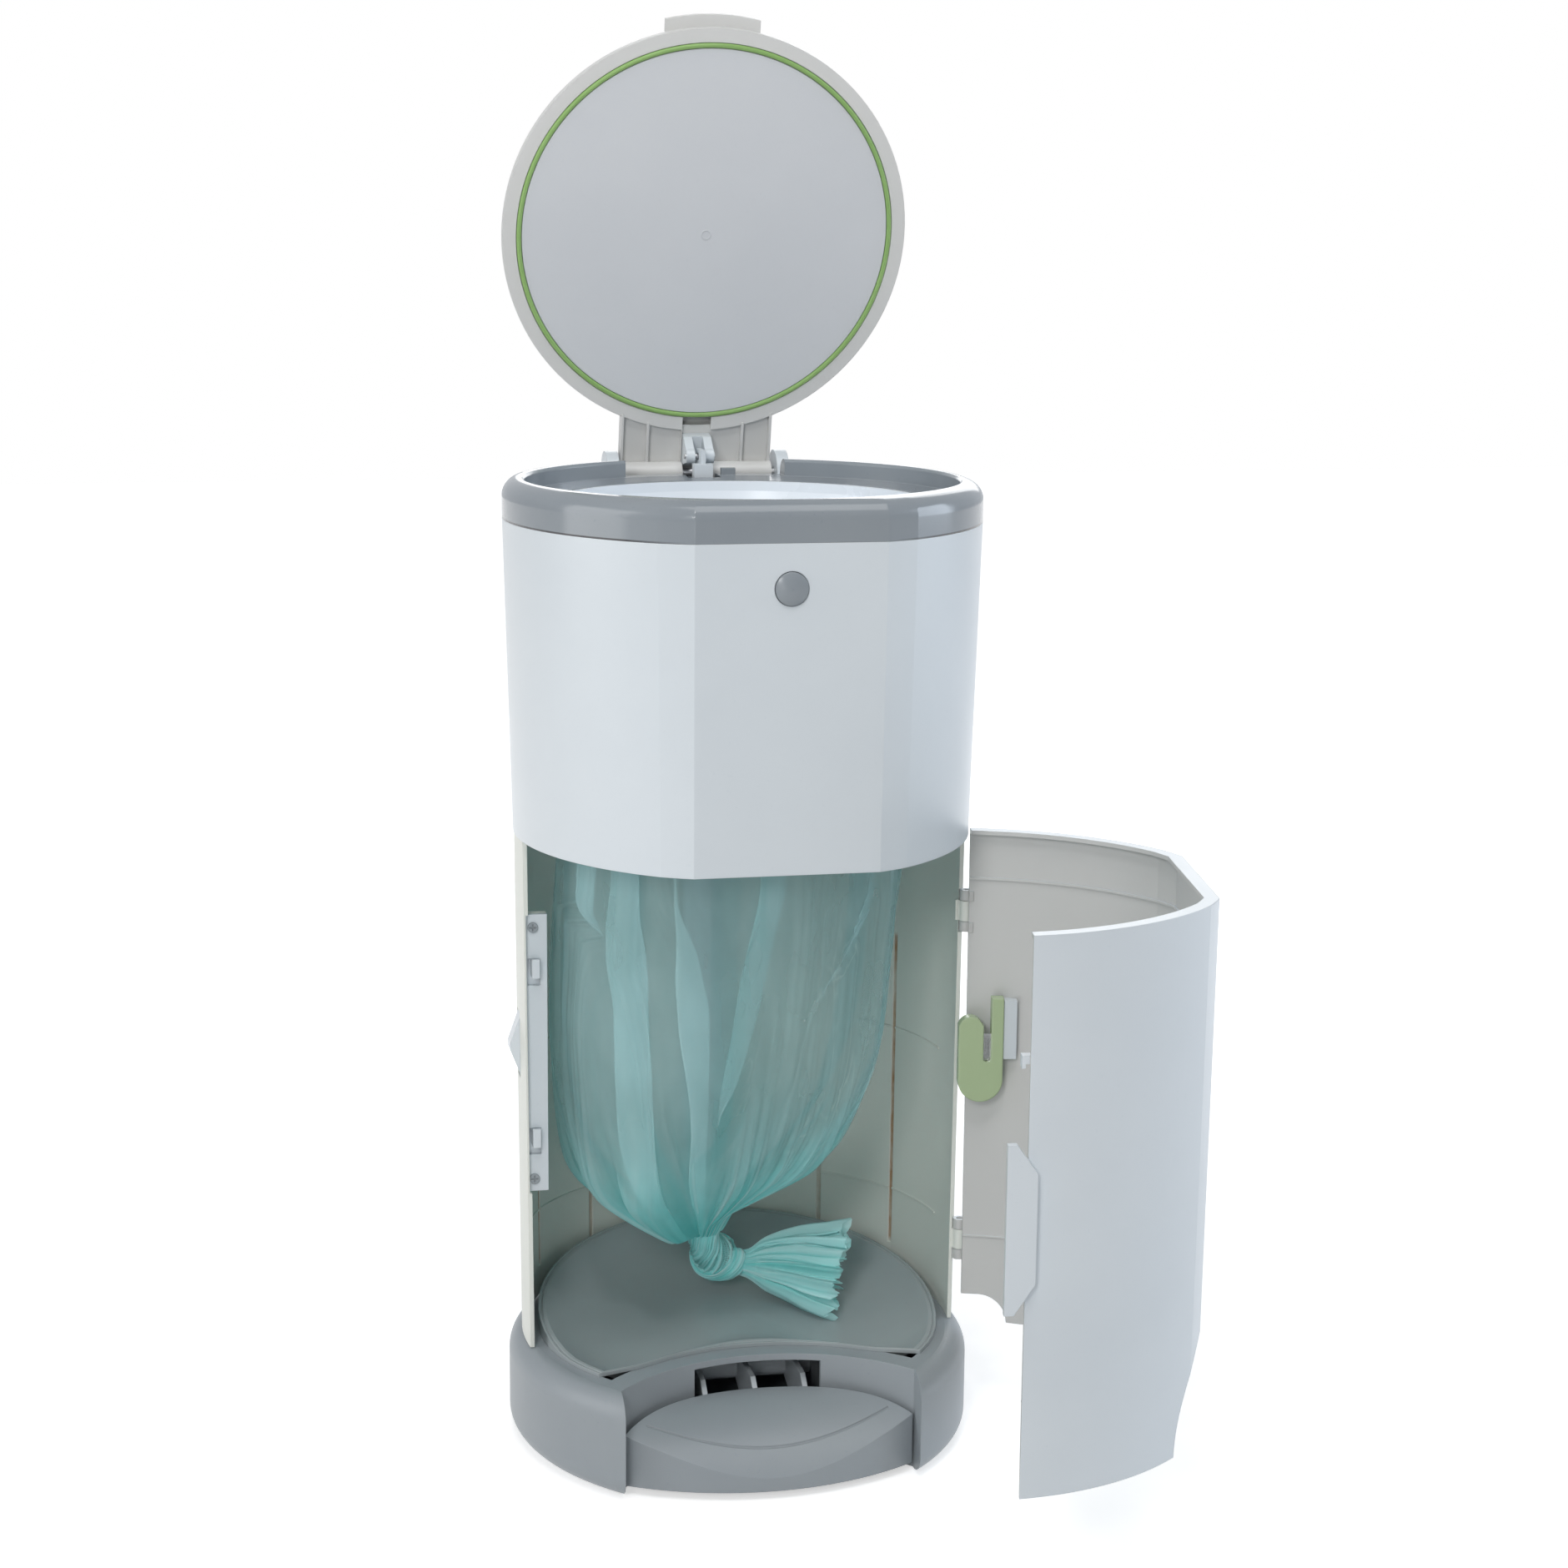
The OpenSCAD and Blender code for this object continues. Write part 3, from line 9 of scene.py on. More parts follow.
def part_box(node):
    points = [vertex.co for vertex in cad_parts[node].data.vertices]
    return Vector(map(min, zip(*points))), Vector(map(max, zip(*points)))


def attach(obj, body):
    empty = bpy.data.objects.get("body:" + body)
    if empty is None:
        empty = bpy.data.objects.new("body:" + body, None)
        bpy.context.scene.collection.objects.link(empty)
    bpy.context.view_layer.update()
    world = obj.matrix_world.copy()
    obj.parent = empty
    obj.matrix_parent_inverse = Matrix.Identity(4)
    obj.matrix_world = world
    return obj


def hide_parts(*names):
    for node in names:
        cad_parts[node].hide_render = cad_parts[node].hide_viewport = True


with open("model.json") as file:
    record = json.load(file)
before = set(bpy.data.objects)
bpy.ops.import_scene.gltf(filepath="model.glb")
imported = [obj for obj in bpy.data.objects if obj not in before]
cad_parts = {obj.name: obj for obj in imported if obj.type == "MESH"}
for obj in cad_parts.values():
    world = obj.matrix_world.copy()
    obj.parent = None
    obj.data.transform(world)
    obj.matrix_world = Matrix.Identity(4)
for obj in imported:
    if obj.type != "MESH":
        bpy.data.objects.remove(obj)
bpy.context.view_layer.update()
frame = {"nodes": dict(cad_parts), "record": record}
scene = bpy.context.scene
scene.view_settings.view_transform = "Standard"

MM = 0.001
TAU = 2 * math.pi
UP = Vector((0, 0, 1))


# Camera and lamps

# The camera fitted to the photograph: place in metres, angles in degrees, lens in millimetres
CAMERA_AT = Vector((-0.32782, -1.63919, 0.71470))
PITCH, PAN, ROLL = -10.93, 11.99, 0.47
SENSOR, LENS = 36, 68.12
SHIFT_X, SHIFT_Y = 0.00565, -0.00733
FARTHEST_SEEN = 50


def look_matrix(right, up, forward, at):
    """Camera matrix from its own axes and its place."""
    m = Matrix.Identity(4)
    for column, axis in enumerate((right, up, -forward, at)):
        for row in range(3):
            m[row][column] = axis[row]
    return m


def make_camera():
    pitch, pan, roll = (math.radians(a) for a in (PITCH, PAN, ROLL))
    level = Vector((math.cos(pan), -math.sin(pan), 0))
    ahead = (math.sin(pan) * math.cos(pitch), math.cos(pan) * math.cos(pitch), math.sin(pitch))
    forward = Vector(ahead)
    upright = level.cross(forward)
    right = math.cos(roll) * level + math.sin(roll) * upright
    up = -math.sin(roll) * level + math.cos(roll) * upright
    data = bpy.data.cameras.new("camera")
    data.sensor_width = SENSOR
    data.lens = LENS
    data.shift_x = SHIFT_X
    data.shift_y = SHIFT_Y
    data.clip_end = FARTHEST_SEEN
    camera = bpy.data.objects.new("camera", data)
    scene.collection.objects.link(camera)
    camera.matrix_world = look_matrix(right, up, forward, CAMERA_AT)
    scene.camera = camera


def soft_box(name, at, size, watts, color=(1, 1, 1), aim_at=(0, 0, 0.35)):
    data = bpy.data.lights.new(name, "AREA")
    data.shape = "RECTANGLE"
    data.size, data.size_y = size
    data.energy = watts
    data.color = color
    lamp = bpy.data.objects.new(name, data)
    scene.collection.objects.link(lamp)
    lamp.location = at
    aim = Vector(aim_at) - Vector(at)
    lamp.rotation_euler = aim.to_track_quat("-Z", "Y").to_euler()


def make_lights():
    soft_box("left_window", (-2.1, 0.0, 0.95), (1.3, 1.5), 15)
    soft_box("right_window", (3.2, 0.1, 1.1), (1.8, 1.8), 40, color=(0.88, 0.98, 1.10))
    soft_box("ceiling", (0.0, -0.65, 2.05), (1.2, 1.2), 12)
    soft_box("key", (-0.95, -2.0, 1.25), (0.55, 0.55), 13.5, aim_at=(0, 0, 0.25))
    soft_box("glint", (-0.45, -1.25, 2.0), (0.22, 0.22), 4, aim_at=(0, 0, 0.5))
    soft_box("bay_fill", (-0.40, -1.55, 0.50), (0.45, 0.35), 1.2, aim_at=(0, 0, 0.13))
    soft_box("back_fill", (0.7, 2.3, 1.3), (1.4, 1.2), 9)


# Node trees


class Tree:
    """A material's node tree, with a short way to add nodes and join them."""

    def __init__(self, name):
        self.material = bpy.data.materials.new(name)
        self.material.use_nodes = True
        self.tree = self.material.node_tree
        self.tree.nodes.clear()
        self.out = self.tree.nodes.new("ShaderNodeOutputMaterial")
        self.relief = None  # a height in metres that a marks function may add

    def add(self, kind, inputs=(), **settings):
        made = self.tree.nodes.new("ShaderNode" + kind)
        for key, value in settings.items():
            setattr(made, key, value)
        for key, value in dict(inputs).items():
            self.set(made.inputs[key], value)
        return made

    def set(self, socket, value):
        if isinstance(value, bpy.types.NodeSocket):
            self.tree.links.new(value, socket)
        else:
            socket.default_value = value

    def surface(self, shader):
        """Makes a shader node the material's surface, and gives the material."""
        self.set(self.out.inputs["Surface"], shader.outputs[0])
        return self.material

    def math(self, operation, a, b=0.0, clamp=False):
        made = self.add("Math", operation=operation, use_clamp=clamp)
        self.set(made.inputs[0], a)
        self.set(made.inputs[1], b)
        return made.outputs[0]

    def times(self, *values):
        product = values[0]
        for value in values[1:]:
            product = self.math("MULTIPLY", product, value)
        return product

    def vector(self, operation, a, b=(0, 0, 0)):
        return self.add("VectorMath", {0: a, 1: b}, operation=operation)

    def spread(self, value, low, high, out_low=0.0, out_high=1.0):
        """Maps a value from one range to another, clamped."""
        made = self.add("MapRange", clamp=True)
        for key, number in enumerate((value, low, high, out_low, out_high)):
            self.set(made.inputs[key], number)
        return made.outputs[0]

    def mix(self, share, a, b):
        made = self.add("Mix", data_type="RGBA", blend_type="MIX")
        self.set(made.inputs[0], share)
        self.set(made.inputs[6], a)
        self.set(made.inputs[7], b)
        return made.outputs[2]

    def here(self):
        """The place on the object, in metres."""
        return self.add("TexCoord").outputs["Object"]

    def axes(self):
        return self.add("SeparateXYZ", {0: self.here()}).outputs

    def place(self, scale=(1, 1, 1), turn=(0, 0, 0)):
        made = self.add("Mapping", {"Vector": self.here()})
        made.inputs["Scale"].default_value = scale
        made.inputs["Rotation"].default_value = turn
        return made.outputs[0]

    def noise(self, scale, detail=3.0, rough=0.5, where=None, warp=0.0):
        made = self.add("TexNoise")
        self.set(made.inputs["Vector"], where or self.place())
        for key, value in (
            ("Scale", scale),
            ("Detail", detail),
            ("Roughness", rough),
            ("Distortion", warp),
        ):
            made.inputs[key].default_value = value
        return made.outputs[0]

    def bump(self, height, strength, distance, normal=None):
        made = self.add("Bump")
        self.set(made.inputs["Height"], height)
        made.inputs["Strength"].default_value = strength
        made.inputs["Distance"].default_value = distance
        if normal is not None:
            self.set(made.inputs["Normal"], normal)
        return made.outputs[0]

    def bevel(self, radius):
        made = self.add("Bevel", samples=6)
        made.inputs["Radius"].default_value = radius
        return made.outputs[0]

    def edges(self, radius):
        """1 on sharp edges, 0 on flat ground."""
        flat = self.add("NewGeometry").outputs["Normal"]
        dot = self.vector("DOT_PRODUCT", self.bevel(radius), flat)
        return self.spread(dot.outputs["Value"], 0.985, 0.80)

    def principled(self, **values):
        made = self.add("BsdfPrincipled")
        for key, value in values.items():
            self.set(made.inputs[key.replace("_", " ")], value)
        return made


def rgba(color):
    return (*color[:3], 1.0)


def shifted(color, by):
    return tuple(max(0.0, min(1.0, c + d)) for c, d in zip(color[:3], by))


# Kinds of material. Noise scales count waves in a metre, depths are in metres.

PLASTIC_IOR, FILM_IOR = 1.48, 1.45
PEEL = 0.03  # strength of the slow waves of a moulded face
WEAR = 0.4  # how far worn edges turn paler
SPECKS = 0.25
GRAIN_HEIGHT = 0.0002
STEEL_DARK, STEEL_LIGHT = (0.50, 0.50, 0.51, 1), (0.68, 0.68, 0.69, 1)
# Colour of the painted highlight on the film's pleat crests
CREST_HIGHLIGHT = (0.86, 0.99, 0.99, 1)
# Colour of the film's fine painted highlight lines
FINE_LINE_HIGHLIGHT = (0.80, 0.93, 0.91, 1)
TROUGH_SHARE, LINE_SHARE, GLOW_SHARE = 0.6, 0.4, 0.3


def plastic(name, color, rough, bevel=0.0007, grain=900, grain_depth=0.10, marks=None):
    """Moulded plastic: faint patches and specks in its colour, uneven gloss, a fine grain and
    the slow waves of a moulded face, with softened edges that are a little worn."""
    t = Tree(name)
    tone = t.mix(
        t.spread(t.noise(9, 4, 0.55), 0.35, 0.65),
        rgba(shifted(color, (-0.014, -0.014, -0.012))),
        rgba(shifted(color, (0.012, 0.011, 0.010))),
    )
    dust = t.spread(t.noise(420, 2, 0.6), 0.66, 0.74)
    tone = t.mix(t.times(dust, SPECKS), tone, rgba(shifted(color, (-0.07, -0.06, -0.05))))
    worn = t.times(t.edges(bevel * 1.6), WEAR)
    tone = t.mix(worn, tone, rgba(shifted(color, (0.06, 0.06, 0.06))))
    if marks:
        tone = marks(t, tone)
    smear = t.noise(12, 5, 0.6)
    gloss = t.spread(smear, 0.25, 0.75, rough - 0.03, rough + 0.03)
    gloss = t.math("ADD", gloss, t.times(worn, 0.12))
    normal = t.bump(t.noise(14, 1, 0.3), PEEL, 0.002, t.bevel(bevel))
    if t.relief is not None:
        normal = t.bump(t.relief, 1.0, 1.0, normal)
    normal = t.bump(t.noise(grain, 2, 0.6), grain_depth, GRAIN_HEIGHT, normal)
    shader = t.principled(Base_Color=tone, Roughness=gloss, Normal=normal)
    shader.inputs["IOR"].default_value = PLASTIC_IOR
    return t.surface(shader)


def brushed_steel(name):
    t = Tree(name)
    lines = t.noise(1500, 2, 0.7, t.place((0.06, 1, 1)))
    tone = t.mix(lines, STEEL_DARK, STEEL_LIGHT)
    gloss = t.spread(t.noise(60, 3, 0.5), 0.3, 0.7, 0.24, 0.40)
    normal = t.bump(lines, 0.15, GRAIN_HEIGHT, t.bevel(0.0003))
    shader = t.principled(Base_Color=tone, Roughness=gloss, Normal=normal)
    shader.inputs["Metallic"].default_value = 1.0
    return t.surface(shader)


def rubber(name, color, rough=0.75):
    t = Tree(name)
    cloud = t.noise(60, 4, 0.6)
    tone = t.mix(cloud, rgba(shifted(color, (-0.02,) * 3)), rgba(shifted(color, (0.03,) * 3)))
    gloss = t.spread(t.noise(200, 3), 0.3, 0.7, rough - 0.1, rough + 0.1)
    normal = t.bump(t.noise(1600, 2), 0.2, GRAIN_HEIGHT, t.bevel(0.0005))
    return t.surface(t.principled(Base_Color=tone, Roughness=gloss, Normal=normal))


def film_material(name, thin, dense, shade, clear, opaque):
    """Thin crumpled film. The mesh's "gather" attribute says how bunched it is: bunched film is
    more saturated and less clear. Its "pleat" attribute holds the fine pleats along it, with a
    painted highlight on their crests and painted shade between them. Fine painted highlight
    lines slant over the right side."""
    t = Tree(name)
    gather = t.add("Attribute", attribute_name="gather").outputs["Fac"]
    pleat = t.add("Attribute", attribute_name="pleat").outputs["Fac"]
    cloud = t.noise(22, 3, 0.5, t.place((1, 1, 0.45)))
    fine = t.noise(150, 3, 0.6, t.place((1, 1, 0.5), (0.4, 0.2, 0)))

    # Fine painted highlight lines slanting over the right side
    slant = t.noise(30, 3, 0.55, t.place((1, 1, 0.16), (0, 0.55, 0)), 0.3)
    line = t.math("ABSOLUTE", t.math("SUBTRACT", slant, 0.5))
    line = t.spread(line, 0.0, 0.02, 1.0, 0.0)
    right_side = t.spread(t.axes()["X"], 0.0, 0.04)
    line = t.times(line, right_side, t.spread(cloud, 0.44, 0.60))

    paler = rgba(shifted(thin, (0.07, 0.06, 0.07)))
    tone = t.mix(t.spread(cloud, 0.35, 0.65), rgba(thin), paler)
    tone = t.mix(gather, tone, rgba(dense))
    # Painted shade between the pleats, and a painted highlight on their crests
    trough_shade = t.times(t.spread(pleat, -0.05, -0.6), t.spread(gather, 0.1, 0.8, 0.35, 1.0))
    tone = t.mix(t.times(trough_shade, TROUGH_SHARE), tone, rgba(shade))
    crest_highlight = t.times(t.spread(pleat, 0.05, 0.7), t.spread(gather, 0.0, 1.0, 0.2, 0.8))
    tone = t.mix(crest_highlight, tone, CREST_HIGHLIGHT)
    tone = t.mix(t.times(line, LINE_SHARE), tone, FINE_LINE_HIGHLIGHT)

    cover = t.add("Mix", data_type="FLOAT")
    t.set(cover.inputs[0], gather)
    t.set(cover.inputs[2], t.spread(cloud, 0.3, 0.7, clear - 0.05, clear + 0.05))
    t.set(cover.inputs[3], opaque)
    alpha = t.math("ADD", cover.outputs[0], t.times(crest_highlight, 0.12))
    alpha = t.math("ADD", alpha, t.times(line, 0.12), clamp=True)

    normal = t.bump(pleat, 0.35, 0.0012)
    normal = t.bump(cloud, 0.25, 0.004, normal)
    normal = t.bump(fine, 0.10, 0.0006, normal)
    gloss = t.spread(fine, 0.3, 0.7, 0.30, 0.44)
    shader = t.principled(Base_Color=tone, Roughness=gloss, Normal=normal, Alpha=alpha)
    shader.inputs["IOR"].default_value = FILM_IOR
    glow = t.add("BsdfTranslucent", {"Color": tone, "Normal": normal})
    gap = t.add("BsdfTransparent")
    clear_glow = t.add("MixShader", {0: alpha, 1: gap.outputs[0], 2: glow.outputs[0]})
    parts = {0: GLOW_SHARE, 1: shader.outputs[0], 2: clear_glow.outputs[0]}
    return t.surface(t.add("MixShader", parts))


# Curves and sheets


def monotone(rows):
    """A smooth curve through rows of (x, y), x rising, that never overshoots."""
    xs = [r[0] for r in rows]
    ys = [r[1] for r in rows]
    steps = [(ys[i + 1] - ys[i]) / (xs[i + 1] - xs[i]) for i in range(len(rows) - 1)]
    slopes = [steps[0]]
    for a, b in zip(steps, steps[1:]):
        slopes.append(0.0 if a * b <= 0 else 2 * a * b / (a + b))
    slopes.append(steps[-1])

    def at(x):
        if x <= xs[0]:
            return ys[0]
        if x >= xs[-1]:
            return ys[-1]
        i = next(k for k in range(len(xs) - 1) if x <= xs[k + 1])
        h = xs[i + 1] - xs[i]
        u = (x - xs[i]) / h
        return (
            ys[i] * (1 + 2 * u) * (1 - u) ** 2
            + slopes[i] * h * u * (1 - u) ** 2
            + ys[i + 1] * u * u * (3 - 2 * u)
            + slopes[i + 1] * h * u * u * (u - 1)
        )

    return at


def ease(x, low, high):
    u = max(0.0, min(1.0, (x - low) / (high - low)))
    return u * u * (3 - 2 * u)


def on_ring(turn):
    return math.cos(turn), math.sin(turn)


def ripple(ring, fineness, along):
    """Smooth noise round a ring, which changes as along does."""
    return noise.noise(Vector((ring[0] * fineness, ring[1] * fineness, along)))


def tube_sheet(name, rows, columns, point, material, body):
    """An open tube of film: point(u, v) gives a place in millimetres, how gathered it is and
    the height of its fine pleats."""
    mesh = bpy.data.meshes.new(name)
    verts, gathers, pleats = [], [], []
    for i in range(rows):
        for j in range(columns):
            p, gather, pleat = point(i / (rows - 1), j / columns)
            verts.append(Vector(p) * MM)
            gathers.append(gather)
            pleats.append(pleat)
    faces = []
    for i in range(rows - 1):
        for j in range(columns):
            k = (j + 1) % columns
            a, b = i * columns, (i + 1) * columns
            faces.append((a + j, a + k, b + k, b + j))
    mesh.from_pydata(verts, [], faces)
    for key, values in (("gather", gathers), ("pleat", pleats)):
        mesh.attributes.new(key, "FLOAT", "POINT").data.foreach_set("value", values)
    for face in mesh.polygons:
        face.use_smooth = True
    mesh.materials.append(material)
    piece = bpy.data.objects.new(name, mesh)
    scene.collection.objects.link(piece)
    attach(piece, body)
    return piece


# The film bag, in millimetres and degrees

FILM_TOP = 442.5
THROAT = (-17.0, 23.0, 108.0)
FILM_ROWS, FILM_COLUMNS = 170, 620
CROWDING = 1.25  # above 1, rows lie closer together near the throat
# Radius at shares of the fall, from the throat up to the neck
film_radius = monotone(
    [
        (0, 9.5), (0.02, 15), (0.045, 27), (0.09, 48), (0.143, 70), (0.19, 81), (0.275, 91),
        (0.385, 97), (0.53, 99), (0.69, 99.3), (0.85, 98), (1, 94.2),
    ]
)  # fmt: skip


def fold(*rows):
    """A fold in the film: rows of height, angle in degrees and width in degrees."""
    rows = sorted(rows)
    return monotone([(r[0], r[1]) for r in rows]), monotone([(r[0], r[2]) for r in rows])


FOLDS = [
    fold((443, -164, 24), (330, -161, 19), (300, -147, 5), (270, -143, 1), (108, -143, 1)),
    fold((443, -134, 25), (337, -134, 22), (303, -134.3, 17), (265, -131.6, 13.5),
         (226, -129.6, 14), (183, -129, 16), (143, -127, 15), (108, -125, 12)),
    fold((443, -112, 13), (345, -111.2, 12.8), (300, -111.2, 9.7), (270, -109.2, 10),
         (222, -106.7, 8), (169, -105.2, 8), (108, -104, 8)),
    fold((443, -88, 10), (345, -87, 9), (300, -90.5, 9), (262, -93, 8), (230, -95.5, 7),
         (201, -98, 5), (170, -99, 3), (108, -99, 3)),
    fold((443, -46, 8), (344, -46, 7), (297, -60, 5), (267, -70, 2), (108, -80, 1)),
    fold((443, -20, 10), (300, -16, 7), (200, -30, 9), (108, -40, 8)),
    fold((443, 28, 12), (300, 24, 10), (108, 30, 8)),
    fold((443, 72, 14), (300, 78, 10), (108, 70, 9)),
    fold((443, 118, 12), (300, 112, 9), (108, 110, 8)),
    fold((443, 160, 13), (300, 152, 10), (108, 150, 9)),
]  # fmt: skip
FOLD_TURN = 2.2
FOLD_BAND = 1.14
FOLD_DEPTH = 4.2
FOLD_REACH = 1.8  # in half widths, past which a fold moves nothing
FULL_FOLD = 6  # half width at which a fold has its whole depth
# Angle at heights of the crease that slants down beside the middle fold, a groove in the bump
# with painted shade in it
CREASE = monotone(
    [
        (108, -104), (179, -99), (205, -92), (238, -90), (269, -88), (300, -85), (330, -83),
        (443, -81),
    ]
)  # fmt: skip
CREASE_WIDTH, CREASE_DEPTH = 2.3, 0.9
SAG_OUT, SAG_IN = 15, 9  # how far the slack film hangs below and is drawn up at the throat


def wrap(angle):
    return (angle + 180) % 360 - 180


def folded(angle, height):
    """How far the folds turn the film round the bag and push it out."""
    turn, out = 0.0, 0.0
    for middle, width in FOLDS:
        half = width(height) / FOLD_BAND
        x = wrap(angle - middle(height)) / half
        if abs(x) < FOLD_REACH:
            pull = x * math.exp(-(x**4))
            grown = min(1.0, half / FULL_FOLD)
            turn -= FOLD_TURN * pull * half * grown
            out += FOLD_DEPTH * pull * grown
    return turn, out


def film_point(u, v):
    share = u**CROWDING
    angle = -90 + 360 * v
    height = THROAT[2] + (FILM_TOP - THROAT[2]) * share
    ring = Vector(on_ring(math.radians(angle)))
    turn, out = folded(angle, height)
    a = math.radians(angle + turn)
    # Pleats that run into the throat
    drawn = 1 - ease(share, 0.02, 0.42)
    pleat = (
        ripple(ring, 5.5, height * 0.004)
        + 0.6 * ripple(ring, 13, 5 + height * 0.004)
        + 0.35 * ripple(ring, 31, 9 + height * 0.006)
    )
    radius = film_radius(share) * (1 + pleat * (0.035 + 0.30 * drawn**2))
    # Crinkles, away from the two ends
    free = ease(share, 0.0, 0.08) * (1 - ease(share, 0.90, 1.0))
    crinkle = noise.noise(Vector((3 + ring[0] * 5, 1 + ring[1] * 5, height * 0.02)))
    out += free * (1.6 * crinkle + 0.35 * ripple(ring, 17, height * 0.05))
    radius += out * (0.25 + 0.75 * ease(share, 0.0, 0.2))
    # The slack side hangs lower than the throat
    slack = ease(share, 0.0, 0.035) * (1 - ease(share, 0.14, 0.36))
    side = -math.cos(a)
    drop = slack * (SAG_OUT * side if side > 0 else SAG_IN * side)
    x = THROAT[0] * (1 - share) + radius * math.cos(a)
    y = THROAT[1] * (1 - share) + radius * math.sin(a)
    gather = 1.1 * (1 - ease(share, 0.0, 0.34)) ** 1.7
    # Fine pleats for the material, as its bump and its painted highlights and shade
    lines = ripple(ring, 20, 2 + height * 0.003) + 0.7 * ripple(ring, 45, 7 + height * 0.004)
    across = wrap(angle - CREASE(height)) / CREASE_WIDTH
    # Lowers the pleat height: a groove in the bump with painted shade in it
    crease = CREASE_DEPTH * math.exp(-(across**4)) * ease(height, 150, 200)
    lines = lines * (0.25 + 0.75 * drawn) - crease
    return (x, y, height - drop), min(1.0, gather), lines


def make_film():
    thin = film_material(
        "film_thin",
        thin=(0.48, 0.75, 0.76),
        dense=(0.27, 0.85, 0.83),
        shade=(0.08, 0.55, 0.53),
        clear=0.35,
        opaque=0.86,
    )
    film = tube_sheet("film", FILM_ROWS, FILM_COLUMNS, film_point, thin, "body")
    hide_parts("bag_film")


# The knot and the tail below it, in millimetres

TAIL_ROWS, TAIL_COLUMNS = 150, 420
TAIL_PATH = [
    (-17, 23, 112), (-16, 25, 104), (-13, 30, 96), (-7, 36, 88), (0, 38, 84), (7, 35, 83),
    (14, 31, 83), (24, 27, 83), (40, 21, 82), (56, 14, 80), (70, 9, 79),
]  # fmt: skip
# At shares of the path: half height, half depth and how deep the pleats are
TAIL_SIZE = [
    (0.0, 9.0, 9.0, 0.10), (0.10, 8.6, 8.6, 0.12), (0.22, 10.5, 10.0, 0.14),
    (0.34, 12.0, 11.0, 0.14), (0.43, 10.5, 9.5, 0.14), (0.50, 6.6, 5.6, 0.16),
    (0.57, 7.2, 5.2, 0.2), (0.70, 14.0, 7.0, 0.26), (0.85, 22.0, 9.0, 0.3),
    (1.0, 28.0, 10.0, 0.32),
]  # fmt: skip
tail_high, tail_deep, tail_pleat = (
    monotone([(row[0], row[k]) for row in TAIL_SIZE]) for k in (1, 2, 3)
)
TAIL_END = 0.965
TAIL_TWIST = 1.6 * 2.2
RUFFLES, RUFFLE_DEPTH = 9, 6.0
KNOT_ROWS, KNOT_COLUMNS = 90, 90
KNOT_TURNS = 1.15
KNOT_MIDDLE, KNOT_LENGTH = 0.33, 0.10  # shares of the path
KNOT_RADIUS = 11.5
STRAND_THICK, STRAND_WIDE = 3.0, 6.0
KNOT_LEAN = 5.0


def path_at(points, share):
    """A point on a Catmull-Rom curve through the points, and its direction."""
    n = len(points) - 1
    x = min(share * n, n - 1e-6)
    i = int(x)
    u = x - i
    p = [Vector(points[max(0, min(n, k))]) for k in (i - 1, i, i + 1, i + 2)]
    place = 0.5 * (
        2 * p[1]
        + (p[2] - p[0]) * u
        + (2 * p[0] - 5 * p[1] + 4 * p[2] - p[3]) * u**2
        + (3 * p[1] - p[0] - 3 * p[2] + p[3]) * u**3
    )
    slope = 0.5 * (
        (p[2] - p[0])
        + 2 * (2 * p[0] - 5 * p[1] + 4 * p[2] - p[3]) * u
        + 3 * (3 * p[1] - p[0] - 3 * p[2] + p[3]) * u**2
    )
    return place, slope.normalized()


def tail_point(u, v):
    turn = TAU * v
    # A ragged end, cut a little aslant
    ragged = 0.045 * ripple(on_ring(turn), 9, 2.0)
    ragged += 0.03 * ripple(on_ring(turn), 30, 4.0)
    ragged -= 0.035 * (0.5 - 0.5 * math.sin(turn))
    share = u * (1 + ragged * ease(u, 0.6, 1.0)) * TAIL_END
    place, along = path_at(TAIL_PATH, share)
    across = along.cross(UP).normalized()
    high = across.cross(along)
    # Pleats that twist as they leave the knot
    ring = Vector(on_ring(turn + TAIL_TWIST * ease(share, 0.05, 0.5)))
    pleat = ripple(ring, 4, share * 1.5)
    pleat += 0.8 * ripple(ring, 10, 3 + share * 1.2)
    pleat += 0.45 * ripple(ring, 24, 8 + share * 2)
    size = 1 + tail_pleat(share) * pleat * 1.5
    ruffle = ease(share, 0.55, 1.0) * RUFFLE_DEPTH
    wave = math.sin(RUFFLES * turn + 3 * math.sin(2 * turn)) * ruffle
    wave += ripple(ring, 12, 6.5) * ruffle
    p = (
        place
        + high * tail_high(share) * size * math.sin(turn)
        + across * (tail_deep(share) * size * math.cos(turn) + wave)
    )
    gather = 0.35 + 0.65 * (1 - ease(share, 0.5, 0.9))
    return p, gather, pleat * 0.8


def knot_point(u, v):
    """A flattened strand wound once round the gathered film, tucked in at both ends."""
    a = TAU * (KNOT_TURNS * u) + 0.6
    centre, along = path_at(TAIL_PATH, KNOT_MIDDLE + KNOT_LENGTH * (u - 0.5))
    side = along.cross(UP).normalized()
    high = side.cross(along)
    tucked = 1 - 0.45 * (1 - ease(u, 0.0, 0.12)) - 0.45 * ease(u, 0.88, 1.0)
    lean = along * (KNOT_LEAN * math.sin(a + 0.9))
    outward = side * math.cos(a) + high * math.sin(a)
    middle = centre + outward * KNOT_RADIUS * tucked + lean
    t = TAU * v
    pleat = ripple(on_ring(t), 3, u * 5) + 0.6 * ripple(on_ring(t), 8, u * 6)
    size = 1 + 0.35 * pleat
    thick = outward * STRAND_THICK * math.cos(t)
    wide = along * STRAND_WIDE * math.sin(t)
    return middle + (thick + wide) * size * tucked, 0.9, pleat


